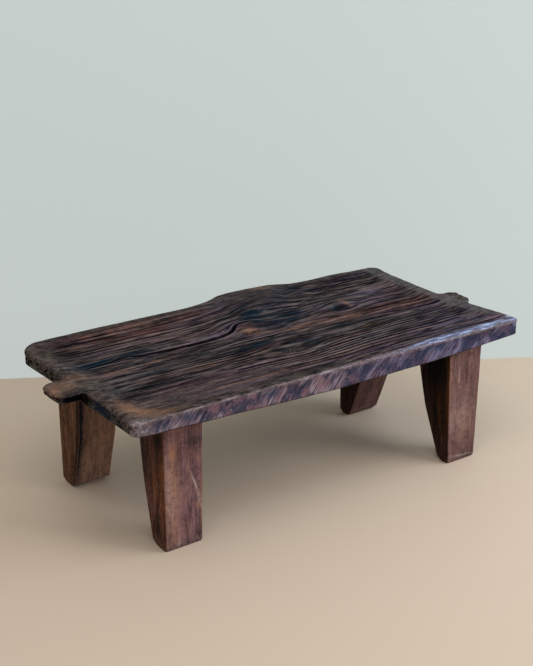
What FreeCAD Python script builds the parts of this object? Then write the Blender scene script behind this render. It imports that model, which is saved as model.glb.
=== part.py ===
import FreeCAD, Part
import Sketcher
import os

# A low table: one thick hewn plank with a carved lug on each end, on four tapered block legs.
# Each leg is let into a shallow housing under the plank and holds there by a stub tenon in a
# blind mortise, which two hidden wedges spread.
# Frame: +X along the plank, +Y towards its back edge, +Z up. The floor is Z = 0 and the origin
# lies under the middle of the table's outline. Left, right, front and back are seen from -Y.

SIZES = {
    # Plank: its plan, its thickness at mid length and the rise of its underside to each end.
    "slab_length": 1206.0,
    "slab_width": 598.0,
    "top_height": 386.0,
    "slab_thickness": 60.0,
    "left_rise": 24.0,
    "right_rise": 11.0,
    "right_end_hollow": 12.0,
    "front_left_corner": 14.0,
    "front_right_corner": 16.0,
    "back_left_corner": 46.0,
    "back_right_corner": 32.0,
    "slab_arris": 6.0,
    # Shallow dish worn and carved into the top: flat strip, slope and depth.
    "dish_margin": 14.0,
    "dish_slope": 70.0,
    "dish_depth": 7.0,
    "dish_corner": 24.0,
    # Lug on the left end, and the shorter one on the right end.
    "left_lug_reach": 70.0,
    "left_lug_width": 95.0,
    "left_lug_forward": 17.0,
    "left_lug_round": 34.0,
    "right_lug_reach": 28.0,
    "right_lug_width": 80.0,
    "right_lug_forward": 57.0,
    "right_lug_round": 16.0,
    "lug_thickness": 26.0,
    "lug_root": 42.0,
    "lug_root_round": 8.0,
    "lug_nose_run": 16.0,
    "lug_nose_rise": 9.0,
    # Swell of the natural edge round a knot, half way along the back.
    "swell_reach": 36.0,
    "swell_seat": 64.0,
    "swell_half_length": 198.0,
    "swell_half_height": 31.0,
    "swell_rise": 6.0,
    "swell_along": 142.0,
    # Long open crack in the dish.
    "crack_depth": 8.0,
    # Joint between a leg and the plank.
    "housing_depth": 3.0,
    "tenon_width": 64.0,
    "tenon_depth": 60.0,
    "tenon_cover": 11.0,
    "mortise_end_gap": 0.8,
    "fit_clearance": 0.3,
    "kerf_root": 1.2,
    "kerf_mouth": 4.0,
    "wedge_clearance": 0.1,
    # Legs: softened arrises, and the worn edge round the sole.
    "leg_arris": 5.0,
    "toe_inset": 9.0,
    "toe_rise": 12.0,
    # Every cut runs this far past the wood.
    "cut_overrun": 15.0,
}

# The crack runs along the grain and curls round the big knot. Its places count from the plank's
# middle, and it is as wide there as twice the half width.
CRACK_START = {"along": -553.0, "across": 69.0}
CRACK_PLACES = [
    {"along": -481.0, "across": 75.0, "half_width": 7.5},
    {"along": -413.0, "across": 90.0, "half_width": 6.0},
    {"along": -366.0, "across": 72.0, "half_width": 6.0},
    {"along": -221.0, "across": 61.0, "half_width": 6.0},
    {"along": -116.0, "across": 71.0, "half_width": 7.0},
    {"along": -79.0, "across": 87.0, "half_width": 9.0},
    {"along": -47.0, "across": 118.0, "half_width": 11.0},
    {"along": -21.0, "across": 131.0, "half_width": 7.0},
]
CRACK_END = {"along": 31.0, "across": 119.0}

# Furrows that weather has opened along the grain, and hollows beside the knots. Each is a long
# egg round a place above the dish floor, counted from the plank's middle. It reaches its depth
# below the floor and is turned by some degrees from the plank's length.
HOLLOWS = {
    "back_left_furrow": {"along": -261.0, "across": 181.0, "half_length": 240.0,
                         "half_width": 9.0, "depth": 4.5, "rise": 3.0, "turn": 1.0},
    "crack_end_hollow": {"along": -456.0, "across": 78.0, "half_length": 90.0,
                         "half_width": 20.0, "depth": 4.0, "rise": 3.0, "turn": 2.0},
    "knot_hollow": {"along": 67.0, "across": 122.0, "half_length": 80.0,
                    "half_width": 46.0, "depth": 7.0, "rise": 3.0, "turn": -12.0},
    "swell_hollow": {"along": 217.0, "across": 250.0, "half_length": 30.0,
                     "half_width": 52.0, "depth": 1.0, "rise": 14.0, "turn": -18.0},
    "small_knot_hollow": {"along": 200.0, "across": 103.0, "half_length": 76.0,
                          "half_width": 19.0, "depth": 5.0, "rise": 3.0, "turn": 4.0},
    "back_right_furrow": {"along": 479.0, "across": 207.0, "half_length": 64.0,
                          "half_width": 10.0, "depth": 5.5, "rise": 3.0, "turn": 0.5},
    "right_furrow": {"along": 450.0, "across": 87.0, "half_length": 90.0,
                     "half_width": 8.0, "depth": 3.0, "rise": 3.0, "turn": -3.0},
    "middle_dotted_furrow": {"along": -62.0, "across": -2.0, "half_length": 92.0,
                             "half_width": 8.0, "depth": 3.0, "rise": 3.0, "turn": 0.5},
    "middle_furrow": {"along": 279.0, "across": -43.0, "half_length": 262.0,
                      "half_width": 11.0, "depth": 6.0, "rise": 3.0, "turn": -0.6},
    "middle_right_furrow": {"along": 407.0, "across": -78.0, "half_length": 134.0,
                            "half_width": 8.0, "depth": 5.5, "rise": 3.0, "turn": -0.5},
    "front_left_furrow": {"along": -306.0, "across": -103.0, "half_length": 215.0,
                          "half_width": 8.0, "depth": 3.5, "rise": 3.0, "turn": -0.3},
    "flat_knot_furrow": {"along": -191.0, "across": -74.0, "half_length": 140.0,
                         "half_width": 8.0, "depth": 3.5, "rise": 3.0, "turn": 1.5},
    "flat_knot_hollow": {"along": -21.0, "across": -129.0, "half_length": 60.0,
                         "half_width": 16.0, "depth": 4.0, "rise": 3.0, "turn": -2.0},
    "inner_right_furrow": {"along": 304.0, "across": -107.0, "half_length": 236.0,
                           "half_width": 8.0, "depth": 4.5, "rise": 3.0, "turn": 1.0},
    "front_right_furrow": {"along": 279.0, "across": -134.0, "half_length": 262.0,
                           "half_width": 10.0, "depth": 5.0, "rise": 3.0, "turn": 1.6},
    "front_furrow": {"along": 144.0, "across": -161.0, "half_length": 385.0,
                     "half_width": 10.0, "depth": 5.0, "rise": 3.0, "turn": 1.2},
}

# Each leg was hewn by eye, so each has sizes of its own. The end inset is from the plank's end
# to the outer side face, the edge inset from the plank's long edge to the outer broad face.
LEG_SIZES = {
    "front_left": {
        "end_inset": 106.0, "edge_inset": 59.0, "top_width": 113.0, "foot_width": 106.0,
        "outer_lean": 1.0, "top_depth": 123.0, "foot_depth": 66.0, "bow": 3.0, "heel_inset": 22.0,
    },
    "front_right": {
        "end_inset": 116.0, "edge_inset": 12.0, "top_width": 121.0, "foot_width": 103.0,
        "outer_lean": 4.0, "top_depth": 137.0, "foot_depth": 46.0, "bow": 5.0, "heel_inset": 10.0,
    },
    "back_left": {
        "end_inset": 78.0, "edge_inset": 53.0, "top_width": 115.0, "foot_width": 107.0,
        "outer_lean": 1.0, "top_depth": 127.0, "foot_depth": 70.0, "bow": 10.0, "heel_inset": 22.0,
    },
    "back_right": {
        "end_inset": 116.0, "edge_inset": 131.0, "top_width": 123.0, "foot_width": 108.0,
        "outer_lean": 13.0, "top_depth": 132.0, "foot_depth": 52.0, "bow": 9.0, "heel_inset": 14.0,
    },
}

# Places along a tenon and up a leg, as shares of its size.
KERF_PLACE_SHARE = 0.26
KERF_DEPTH_SHARE = 0.8
BOW_HEIGHT_SHARE = 0.45

# Worked out from the sizes above, in the sheet.
DERIVED = {
    "half_length": "slab_length / 2",
    "half_width": "slab_width / 2",
    "slab_centre_x": "(left_lug_reach - right_lug_reach) / 2",
    "slab_centre_y": "-swell_reach / 2",
    "belly_height": "top_height - slab_thickness",
    "left_end_height": "belly_height + left_rise",
    "right_end_height": "belly_height + right_rise",
    "left_belly_radius": "(half_length ^ 2 + left_rise ^ 2) / (2 * left_rise)",
    "right_belly_radius": "(half_length ^ 2 + right_rise ^ 2) / (2 * right_rise)",
    "blank_bottom": "belly_height - cut_overrun",
    "blank_thickness": "slab_thickness + cut_overrun",
    "waste_bottom": "blank_bottom - cut_overrun",
    "past_end": "half_length + cut_overrun",
    "right_end_middle": "half_length - right_end_hollow",
    "dish_rim_height": "top_height + cut_overrun",
    "dish_rim_slope": "dish_slope * cut_overrun / dish_depth",
    "dish_rim_x": "half_length - dish_margin + dish_rim_slope",
    "dish_rim_y": "half_width - dish_margin + dish_rim_slope",
    "dish_floor_height": "top_height - dish_depth",
    "dish_floor_x": "half_length - dish_margin - dish_slope",
    "dish_floor_y": "half_width - dish_margin - dish_slope",
    "lug_bottom": "top_height - lug_thickness",
    "lug_nose_height": "lug_bottom + lug_nose_rise",
    "lug_waste_bottom": "lug_bottom - cut_overrun",
    "left_lug_tip": "-half_length - left_lug_reach",
    "left_lug_root": "-half_length + lug_root",
    "left_lug_front": "-left_lug_forward - left_lug_width / 2",
    "left_lug_back": "-left_lug_forward + left_lug_width / 2",
    "right_lug_tip": "half_length + right_lug_reach",
    "right_lug_root": "half_length - lug_root",
    "right_lug_front": "-right_lug_forward - right_lug_width / 2",
    "right_lug_back": "-right_lug_forward + right_lug_width / 2",
    "crack_floor": "dish_floor_height - crack_depth",
    "swell_half_width": "swell_reach + swell_seat",
    "swell_across": "half_width - swell_seat",
    "swell_height": "top_height + swell_rise - swell_half_height",
    "tenon_flare": "kerf_mouth - kerf_root",
    "tenon_half_width": "tenon_width / 2",
    "tenon_half_depth": "tenon_depth / 2",
    "tenon_head_half_width": "tenon_half_width + tenon_flare",
    "mortise_half_width": "tenon_half_width + fit_clearance",
    "mortise_half_depth": "tenon_half_depth + fit_clearance",
    "mortise_head_half_width": "tenon_head_half_width + fit_clearance",
    "kerf_place": f"tenon_width * {KERF_PLACE_SHARE}",
    "kerf_half_root": "kerf_root / 2",
    "kerf_half_mouth": "kerf_mouth / 2",
    "wedge_half_root": "kerf_half_root - wedge_clearance",
    "wedge_half_mouth": "kerf_half_mouth - wedge_clearance",
}

doc = FreeCAD.newDocument("low_table")
sheet = doc.addObject("Spreadsheet::Sheet", "Sizes")


def fill_sheet():
    """Write every driving size and every worked out size under its own name."""
    rows = [(name, str(value)) for name, value in SIZES.items()]
    for leg, values in LEG_SIZES.items():
        rows += [(f"{leg}_{name}", str(value)) for name, value in values.items()]
    for hollow, values in HOLLOWS.items():
        rows += [(f"{hollow}_{name}", str(value)) for name, value in values.items()]
    crack = {"crack_start": CRACK_START, "crack_end": CRACK_END}
    crack.update({f"crack_{number}": place for number, place in enumerate(CRACK_PLACES, 1)})
    for place, values in crack.items():
        rows += [(f"{place}_{name}", str(value)) for name, value in values.items()]
    rows += [(name, f"={formula}") for name, formula in DERIVED.items()]
    for hollow in HOLLOWS:
        rows.append((f"{hollow}_level", f"=dish_floor_height + {hollow}_rise"))
        rows.append((f"{hollow}_half_height", f"={hollow}_rise + {hollow}_depth"))
    for leg in LEG_SIZES:
        rows += [(name, f"={formula}") for name, formula in leg_formulas(leg).items()]
    for row, (name, content) in enumerate(rows, 1):
        sheet.set(f"A{row}", name)
        sheet.set(f"B{row}", content)
        sheet.setAlias(f"B{row}", name)
    doc.recompute()


def side_of(leg):
    """The plank's end that a leg stands at, left or right."""
    return leg.split("_")[1]


def inward_x(leg):
    """Sign of X from a leg towards the middle of the table."""
    return "+" if side_of(leg) == "left" else "-"


def inward_y(leg):
    """Sign of Y from a leg towards the middle of the table."""
    return "+" if leg.startswith("front") else "-"


def outward(sign):
    """The other sign."""
    return "+" if sign == "-" else "-"


def leg_formulas(leg):
    """Sizes that follow from the plank above a leg, and the leg's place under the plank."""
    radius = f"{side_of(leg)}_belly_radius"
    x_out = outward(inward_x(leg))
    y_out = outward(inward_y(leg))
    return {
        f"{leg}_corner_x": f"0 {x_out} (half_length - {leg}_end_inset)",
        f"{leg}_corner_y": f"0 {y_out} (half_width - {leg}_edge_inset)",
        f"{leg}_place_x": f"slab_centre_x + {leg}_corner_x",
        f"{leg}_place_y": f"slab_centre_y + {leg}_corner_y",
        f"{leg}_shoulder": f"belly_height + {radius} - sqrt({radius} ^ 2 - {leg}_corner_x ^ 2)"
                           " + housing_depth",
        f"{leg}_mortise_top": "top_height - dish_depth - tenon_cover",
        f"{leg}_tenon_top": f"{leg}_mortise_top - mortise_end_gap",
        f"{leg}_kerf_bottom": f"{leg}_tenon_top - ({leg}_tenon_top - {leg}_shoulder)"
                              f" * {KERF_DEPTH_SHARE}",
        f"{leg}_wedge_bottom": f"{leg}_kerf_bottom + wedge_clearance",
        f"{leg}_middle_x": f"0 {inward_x(leg)} {leg}_top_width / 2",
        f"{leg}_middle_y": f"0 {inward_y(leg)} {leg}_top_depth / 2",
        f"{leg}_foot_end": f"{leg}_outer_lean + {leg}_foot_width",
        f"{leg}_bow_height": f"{leg}_shoulder * {BOW_HEIGHT_SHARE}",
        f"{leg}_bow_lean": f"{leg}_outer_lean / 2",
        f"{leg}_bow_end": f"({leg}_top_width + {leg}_foot_end) / 2",
        f"{leg}_bow_depth": f"({leg}_top_depth + {leg}_foot_depth) / 2 + {leg}_bow",
        f"{leg}_past_tenon": f"{leg}_tenon_top + cut_overrun",
    }


def cell(formula):
    """A sum of sheet names, such as -half_length + dish_margin, as another object reads it."""
    words = formula.replace("-", " - ").split()
    return " ".join(word if word in ("0", "+", "-") else f"Sizes.{word}" for word in words)


def value(formula):
    """The number that such a sum has now."""
    total = 0.0
    sign = 1.0
    for word in formula.replace("-", " - ").split():
        if word in ("+", "-"):
            sign = -1.0 if word == "-" else 1.0
        else:
            total += sign * (0.0 if word == "0" else sheet.get(word))
    return total


def minus(formula):
    """The same sum with its sign turned."""
    turned = formula.replace("-", " - ").split()
    swap = {"+": "-", "-": "+"}
    text = " ".join(swap.get(word, word) for word in turned)
    return text[2:] if text.startswith("+ ") else (text if text.startswith("-") else f"- {text}")


def span(sign, start, stop):
    """Two sums in rising order, turned to the other side of zero when the sign is a minus."""
    return (minus(stop), minus(start)) if sign == "-" else (start, stop)


def new_body(name, place_x="0", place_y="0"):
    """An empty body whose place in the table is bound to the sheet."""
    body = doc.addObject("PartDesign::Body", name)
    body.Label = name
    body.setExpression("Placement.Base.x", cell(place_x))
    body.setExpression("Placement.Base.y", cell(place_y))
    return body


def new_sketch(body, name, plane, level="0"):
    """A sketch on one of the body's own origin planes, moved along its normal by the level."""
    sketch = body.newObject("Sketcher::SketchObject", name)
    support = [each for each in body.Origin.OriginFeatures if each.Role == plane][0]
    sketch.AttachmentSupport = [(support, "")]
    sketch.MapMode = "FlatFace"
    sketch.setExpression("AttachmentOffset.Base.z", cell(level))
    doc.recompute()
    return sketch


def fix_point(sketch, geometry, end, across, up):
    """Hold one end of a line or arc at a place given by two sums of sheet names."""
    for kind, formula in (("DistanceX", across), ("DistanceY", up)):
        number = sketch.addConstraint(
            Sketcher.Constraint(kind, -1, 1, geometry, end, value(formula)))
        sketch.setExpression(f"Constraints[{number}]", cell(formula))


def draw(sketch, corners):
    """Draw a closed outline. A corner is (across, up). With a third entry the side that starts
    there is an arc: the name of its radius where it turns left, or a place that it runs
    through."""
    for index, (across, up, *arc) in enumerate(corners):
        next_across, next_up = corners[(index + 1) % len(corners)][:2]
        start = FreeCAD.Vector(value(across), value(up), 0)
        stop = FreeCAD.Vector(value(next_across), value(next_up), 0)
        if not arc:
            geometry = sketch.addGeometry(Part.LineSegment(start, stop))
        elif isinstance(arc[0], str):
            geometry = add_left_arc(sketch, start, stop, arc[0])
        else:
            geometry = add_arc_through(sketch, start, stop, *arc[0])
        ends = (1, 2)
        if sketch.getPoint(geometry, 1).distanceToPoint(start) > sketch.getPoint(
                geometry, 2).distanceToPoint(start):
            ends = (2, 1)
        fix_point(sketch, geometry, ends[0], across, up)
        fix_point(sketch, geometry, ends[1], next_across, next_up)
    doc.recompute()


def add_left_arc(sketch, start, stop, radius_name):
    """A short arc of a bound radius from start to stop, turning left on the way."""
    radius = value(radius_name)
    chord = stop - start
    to_left = FreeCAD.Vector(-chord.y, chord.x, 0).normalize()
    to_centre = max(radius ** 2 - chord.Length ** 2 / 4, 0) ** 0.5
    through = (start + stop) / 2 + to_left * (to_centre - radius)
    geometry = sketch.addGeometry(Part.Arc(start, through, stop))
    number = sketch.addConstraint(Sketcher.Constraint("Radius", geometry, radius))
    sketch.setExpression(f"Constraints[{number}]", cell(radius_name))
    return geometry


def add_arc_through(sketch, start, stop, across, up):
    """An arc from start to stop through a place that is held by sheet names."""
    place = FreeCAD.Vector(value(across), value(up), 0)
    geometry = sketch.addGeometry(Part.Arc(start, place, stop))
    mark = sketch.addGeometry(Part.Point(place), True)
    fix_point(sketch, mark, 1, across, up)
    sketch.addConstraint(Sketcher.Constraint("PointOnObject", mark, 1, geometry))
    return geometry


def box_corners(left, right, low, high):
    """The four corners of a rectangle between two places across and two up."""
    return [(left, low), (right, low), (right, high), (left, high)]


def round_box_corners(left, right, low, high, radius):
    """The outline of a rectangle whose corners are rounded."""
    return [
        (f"{left} + {radius}", low),
        (f"{right} - {radius}", low, radius),
        (right, f"{low} + {radius}"),
        (right, f"{high} - {radius}", radius),
        (f"{right} - {radius}", high),
        (f"{left} + {radius}", high, radius),
        (left, f"{high} - {radius}"),
        (left, f"{low} + {radius}", radius),
    ]


def pad(body, name, sketch, length, both_ways=False):
    """Add the sketch's area, grown by a bound length one way or half of it each way."""
    feature = body.newObject("PartDesign::Pad", name)
    feature.Profile = sketch
    feature.SideType = "Symmetric" if both_ways else "One side"
    feature.setExpression("Length", cell(length))
    doc.recompute()


def cut(body, name, sketch, both_ways, upwards=False):
    """Cut the sketch's area right through, one way from its plane or both ways."""
    before = body.Shape.Volume
    feature = body.newObject("PartDesign::Pocket", name)
    feature.Profile = sketch
    feature.Reversed = upwards
    feature.SideType = "Symmetric" if both_ways else "One side"
    feature.Type = "ThroughAll"
    doc.recompute()
    if not body.Shape.Volume < before:
        raise RuntimeError(f"{name} cut nothing")


def loft(body, kind, name, first, *others):
    """Add or cut the straight-sided form that runs from sketch to sketch."""
    before = 0.0 if body.Tip is None else body.Shape.Volume
    feature = body.newObject(f"PartDesign::{kind}", name)
    feature.Profile = first
    feature.Sections = list(others)
    feature.Ruled = True
    doc.recompute()
    grows = kind == "AdditiveLoft"
    if grows != (body.Shape.Volume > before):
        raise RuntimeError(f"{name} changed nothing")


def egg(body, kind, name, radii, place, turn="0"):
    """Add or cut an egg with a bound half height, half length and half width about a place."""
    before = body.Shape.Volume
    feature = body.newObject(f"PartDesign::{kind}", name)
    support = [each for each in body.Origin.OriginFeatures if each.Role == "XY_Plane"][0]
    feature.AttachmentSupport = [(support, "")]
    feature.MapMode = "FlatFace"
    for number, radius in enumerate(radii, 1):
        feature.setExpression(f"Radius{number}", cell(radius))
    for axis, formula in zip("xyz", place):
        feature.setExpression(f"AttachmentOffset.Base.{axis}", cell(formula))
    feature.setExpression("AttachmentOffset.Rotation.Angle", cell(turn))
    feature.Refine = False
    doc.recompute()
    grows = kind == "AdditiveEllipsoid"
    if grows != (body.Shape.Volume > before):
        raise RuntimeError(f"{name} changed nothing")


def round_edges(body, name, radius, chosen):
    """Round every edge of the body for which chosen says yes."""
    base = body.Tip
    picked = [f"Edge{number}" for number, edge in enumerate(base.Shape.Edges, 1) if chosen(edge)]
    if not picked:
        raise RuntimeError(f"{name} found no edge")
    feature = body.newObject("PartDesign::Fillet", name)
    feature.Base = (base, picked)
    feature.setExpression("Radius", cell(radius))
    doc.recompute()


def is_upright(edge):
    """A straight edge that stands close to upright."""
    low, high = edge.Vertexes[0].Point, edge.Vertexes[-1].Point
    return len(edge.Vertexes) == 2 and abs(high.z - low.z) > 2 * (high - low).cross(
        FreeCAD.Vector(0, 0, 1)).Length


def near(edge, x_place, y_place):
    """Whether the middle of an edge lies close to a place in plan."""
    middle = edge.CenterOfMass
    reach = value("cut_overrun")
    return abs(middle.x - value(x_place)) < reach and abs(middle.y - value(y_place)) < reach


def make_plank(body):
    """The plank in plan with rounded corners, and its underside hewn to a belly."""
    plan = new_sketch(body, "plank_plan", "XY_Plane", "blank_bottom")
    draw(plan, [
        ("-half_length", "-half_width"),
        ("half_length", "-half_width", ("right_end_middle", "0")),
        ("half_length", "half_width"),
        ("-half_length", "half_width"),
    ])
    pad(body, "plank", plan, "blank_thickness")
    for corner, x_place, y_place in (
            ("front_left_corner", "-half_length", "-half_width"),
            ("front_right_corner", "half_length", "-half_width"),
            ("back_left_corner", "-half_length", "half_width"),
            ("back_right_corner", "half_length", "half_width")):
        round_edges(body, f"{corner}_round", corner,
                    lambda edge: is_upright(edge) and near(edge, x_place, y_place))
    belly = new_sketch(body, "belly_waste", "XZ_Plane")
    draw(belly, [
        ("-past_end", "left_end_height"),
        ("-half_length", "left_end_height", "left_belly_radius"),
        ("0", "belly_height", "right_belly_radius"),
        ("half_length", "right_end_height"),
        ("past_end", "right_end_height"),
        ("past_end", "waste_bottom"),
        ("-past_end", "waste_bottom"),
    ])
    cut(body, "belly", belly, True)


def make_lug(body, end):
    """A flat lug on one end of the plank, level with its top, that flows out of the end face."""
    out, back_in = ("+", "-") if end == "right" else ("-", "+")
    end_x, root, tip = f"{out} half_length", f"{end}_lug_root", f"{end}_lug_tip"
    front, back = f"{end}_lug_front", f"{end}_lug_back"
    plan = new_sketch(body, f"{end}_lug_plan", "XY_Plane", "lug_bottom")
    left, right = (root, tip) if end == "right" else (tip, root)
    draw(plan, round_box_corners(left, right, front, back, f"{end}_lug_round"))
    pad(body, f"{end}_lug", plan, "lug_thickness")
    round_edges(body, f"{end}_lug_root_round", "lug_root_round",
                lambda edge: is_upright(edge) and (near(edge, end_x, front) or near(edge, end_x, back)))
    nose_start = f"{tip} {back_in} lug_nose_run"
    past_tip = f"{tip} {out} cut_overrun"
    nose = new_sketch(body, f"{end}_lug_nose_waste", "XZ_Plane")
    draw(nose, [
        (nose_start, "lug_bottom"),
        (tip, "lug_nose_height"),
        (past_tip, "lug_nose_height"),
        (past_tip, "lug_waste_bottom"),
        (nose_start, "lug_waste_bottom"),
    ])
    cut(body, f"{end}_lug_nose", nose, True)


def wear_arrises(body):
    """Round the long edges of the plank, above with its lugs and below."""
    slack = value("fit_clearance")
    top = value("top_height")
    highest_underside = max(value("left_end_height"), value("right_end_height"))
    round_edges(body, "top_arris", "slab_arris",
                lambda edge: edge.BoundBox.ZMin > top - slack)
    round_edges(body, "bottom_arris", "slab_arris",
                lambda edge: edge.BoundBox.ZMax < highest_underside + slack)


def make_dish(body):
    """The shallow dish in the top: a loft from a wide rim above it to its floor."""
    sketches = []
    for name, level, half_x, half_y in (
            ("dish_floor", "dish_floor_height", "dish_floor_x", "dish_floor_y"),
            ("dish_rim", "dish_rim_height", "dish_rim_x", "dish_rim_y")):
        sketch = new_sketch(body, name, "XY_Plane", level)
        draw(sketch, round_box_corners(
            f"-{half_x}", half_x, f"-{half_y}", half_y, "dish_corner"))
        sketches.append(sketch)
    loft(body, "SubtractiveLoft", "dish", *sketches)


def make_swell(body):
    """The swell round the knot: a long low egg sunk into the back edge."""
    egg(body, "AdditiveEllipsoid", "knot_swell",
        ("swell_half_height", "swell_half_length", "swell_half_width"),
        ("swell_along", "swell_across", "swell_height"))


def make_crack(body):
    """The open crack, cut down into the dish with steep sides and pointed ends."""
    numbers = range(1, len(CRACK_PLACES) + 1)
    front = [(f"crack_{n}_along", f"crack_{n}_across - crack_{n}_half_width") for n in numbers]
    back = [(f"crack_{n}_along", f"crack_{n}_across + crack_{n}_half_width") for n in numbers]
    outline = new_sketch(body, "crack_outline", "XY_Plane", "crack_floor")
    draw(outline, [("crack_start_along", "crack_start_across"), *front,
                   ("crack_end_along", "crack_end_across"), *reversed(back)])
    cut(body, "crack", outline, False, upwards=True)


def make_hollows(body):
    """The furrows and hollows of the weathered dish."""
    for hollow in HOLLOWS:
        egg(body, "SubtractiveEllipsoid", hollow,
            (f"{hollow}_half_height", f"{hollow}_half_length", f"{hollow}_half_width"),
            (f"{hollow}_along", f"{hollow}_across", f"{hollow}_level"), f"{hollow}_turn")


def joint_rectangle(body, leg, name, level, half_width, half_depth, corner_x="0", corner_y="0"):
    """A rectangle about the middle of a leg's top, for its tenon or its mortise."""
    sketch = new_sketch(body, f"{leg}_{name}", "XY_Plane", level)
    middle_x, middle_y = f"{corner_x} + {leg}_middle_x", f"{corner_y} + {leg}_middle_y"
    draw(sketch, box_corners(
        f"{middle_x} - {half_width}", f"{middle_x} + {half_width}",
        f"{middle_y} - {half_depth}", f"{middle_y} + {half_depth}"))
    return sketch


def cut_joint(body, leg):
    """The housing and the flared blind mortise for one leg, from beneath."""
    corner_x, corner_y = f"{leg}_corner_x", f"{leg}_corner_y"
    low_x, high_x = span(inward_x(leg), "- fit_clearance", f"{leg}_top_width + fit_clearance")
    low_y, high_y = span(inward_y(leg), "- fit_clearance", f"{leg}_top_depth + fit_clearance")
    housing = new_sketch(body, f"{leg}_housing_plan", "XY_Plane", f"{leg}_shoulder")
    draw(housing, box_corners(
        f"{corner_x} + {low_x}", f"{corner_x} + {high_x}",
        f"{corner_y} + {low_y}", f"{corner_y} + {high_y}"))
    cut(body, f"{leg}_housing", housing, False)
    mouth = joint_rectangle(body, leg, "mortise_mouth", f"{leg}_shoulder",
                            "mortise_half_width", "mortise_half_depth", corner_x, corner_y)
    head = joint_rectangle(body, leg, "mortise_head", f"{leg}_mortise_top",
                           "mortise_head_half_width", "mortise_half_depth", corner_x, corner_y)
    loft(body, "SubtractiveLoft", f"{leg}_mortise", mouth, head)


def make_top_slab():
    """The plank with its lugs, dish, swell, crack, hollows and the four joints."""
    body = new_body("top_slab", "slab_centre_x", "slab_centre_y")
    make_plank(body)
    make_lug(body, "left")
    make_lug(body, "right")
    wear_arrises(body)
    make_dish(body)
    make_swell(body)
    make_crack(body)
    make_hollows(body)
    for leg in LEG_SIZES:
        cut_joint(body, leg)
    return body


def leg_section(body, leg, name, level, ends, depths):
    """One level of a leg: a rounded rectangle from its outer corner inwards."""
    sketch = new_sketch(body, f"{leg}_{name}", "XY_Plane", level)
    across = span(inward_x(leg), *ends)
    along = span(inward_y(leg), *depths)
    draw(sketch, round_box_corners(*across, *along, "leg_arris"))
    return sketch


def make_leg(leg):
    """One leg: outer faces near upright, inner face bowed and drawn in to a small worn foot."""
    body = new_body(f"leg_{leg}", f"{leg}_place_x", f"{leg}_place_y")
    lean, foot_end, foot_depth = f"{leg}_outer_lean", f"{leg}_foot_end", f"{leg}_foot_depth"
    levels = (
        ("sole", "0", (f"{lean} + toe_inset", f"{foot_end} - toe_inset"),
         ("toe_inset", f"{foot_depth} - {leg}_heel_inset")),
        ("foot", "toe_rise", (lean, foot_end), ("0", foot_depth)),
        ("calf", f"{leg}_bow_height", (f"{leg}_bow_lean", f"{leg}_bow_end"),
         ("0", f"{leg}_bow_depth")),
        ("top", f"{leg}_shoulder", ("0", f"{leg}_top_width"), ("0", f"{leg}_top_depth")),
    )
    sections = [leg_section(body, leg, *level) for level in levels]
    loft(body, "AdditiveLoft", f"{leg}_block", *sections)
    neck = joint_rectangle(body, leg, "tenon_neck", f"{leg}_shoulder",
                           "tenon_half_width", "tenon_half_depth")
    head = joint_rectangle(body, leg, "tenon_head", f"{leg}_tenon_top",
                           "tenon_head_half_width", "tenon_half_depth")
    loft(body, "AdditiveLoft", f"{leg}_tenon", neck, head)
    for kerf, place in kerf_places(leg).items():
        profile = new_sketch(body, f"{leg}_{kerf}_kerf_profile", "XZ_Plane")
        draw(profile, [
            (f"{place} - kerf_half_root", f"{leg}_kerf_bottom"),
            (f"{place} + kerf_half_root", f"{leg}_kerf_bottom"),
            (f"{place} + kerf_half_mouth", f"{leg}_tenon_top"),
            (f"{place} + kerf_half_mouth", f"{leg}_past_tenon"),
            (f"{place} - kerf_half_mouth", f"{leg}_past_tenon"),
            (f"{place} - kerf_half_mouth", f"{leg}_tenon_top"),
        ])
        cut(body, f"{leg}_{kerf}_kerf", profile, True)
    return body


def kerf_places(leg):
    """The two saw kerfs of a tenon, the outer one nearer to the end of the plank."""
    x_in = inward_x(leg)
    return {
        "outer": f"{leg}_middle_x {outward(x_in)} kerf_place",
        "inner": f"{leg}_middle_x {x_in} kerf_place",
    }


def make_wedge(leg, kerf, place):
    """One wedge, which fills its kerf and spreads the tenon in the flared mortise."""
    body = new_body(f"wedge_{leg}_{kerf}", f"{leg}_place_x", f"{leg}_place_y")
    profile = new_sketch(body, f"{leg}_{kerf}_wedge_profile", "XZ_Plane", minus(f"{leg}_middle_y"))
    draw(profile, [
        (f"{place} - wedge_half_root", f"{leg}_wedge_bottom"),
        (f"{place} + wedge_half_root", f"{leg}_wedge_bottom"),
        (f"{place} + wedge_half_mouth", f"{leg}_tenon_top"),
        (f"{place} - wedge_half_mouth", f"{leg}_tenon_top"),
    ])
    pad(body, f"{leg}_{kerf}_wedge_pad", profile, "tenon_depth", both_ways=True)
    return body


def main():
    """Build every piece, check the document and write one file for each piece."""
    fill_sheet()
    bodies = [make_top_slab()]
    for leg in LEG_SIZES:
        bodies.append(make_leg(leg))
        bodies += [make_wedge(leg, kerf, place) for kerf, place in kerf_places(leg).items()]
    doc.recompute()
    for thing in doc.Objects:
        if "Invalid" in thing.State or "Error" in thing.State:
            raise RuntimeError(f"{thing.Label} failed: {thing.State}")
    for body in bodies:
        if body.Shape.isNull() or not body.Shape.isValid() or len(body.Shape.Solids) != 1:
            raise RuntimeError(f"{body.Label} has no sound solid")
    os.makedirs("parts", exist_ok=True)
    for body in bodies:
        body.Shape.exportStep(f"parts/{body.Label}.step")
        print(f"{body.Label}: {body.Shape.Volume:.0f} cubic mm")


main()
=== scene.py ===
"""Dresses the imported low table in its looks: a weathered plank top with an open crack, knots and adze marks,
on four hewn legs. Lengths are in millimetres, and are turned into metres where a mesh is made. The
materials and the studio count in metres."""
import math

import bpy
import numpy as np
from mathutils import Matrix, Vector, geometry


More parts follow.
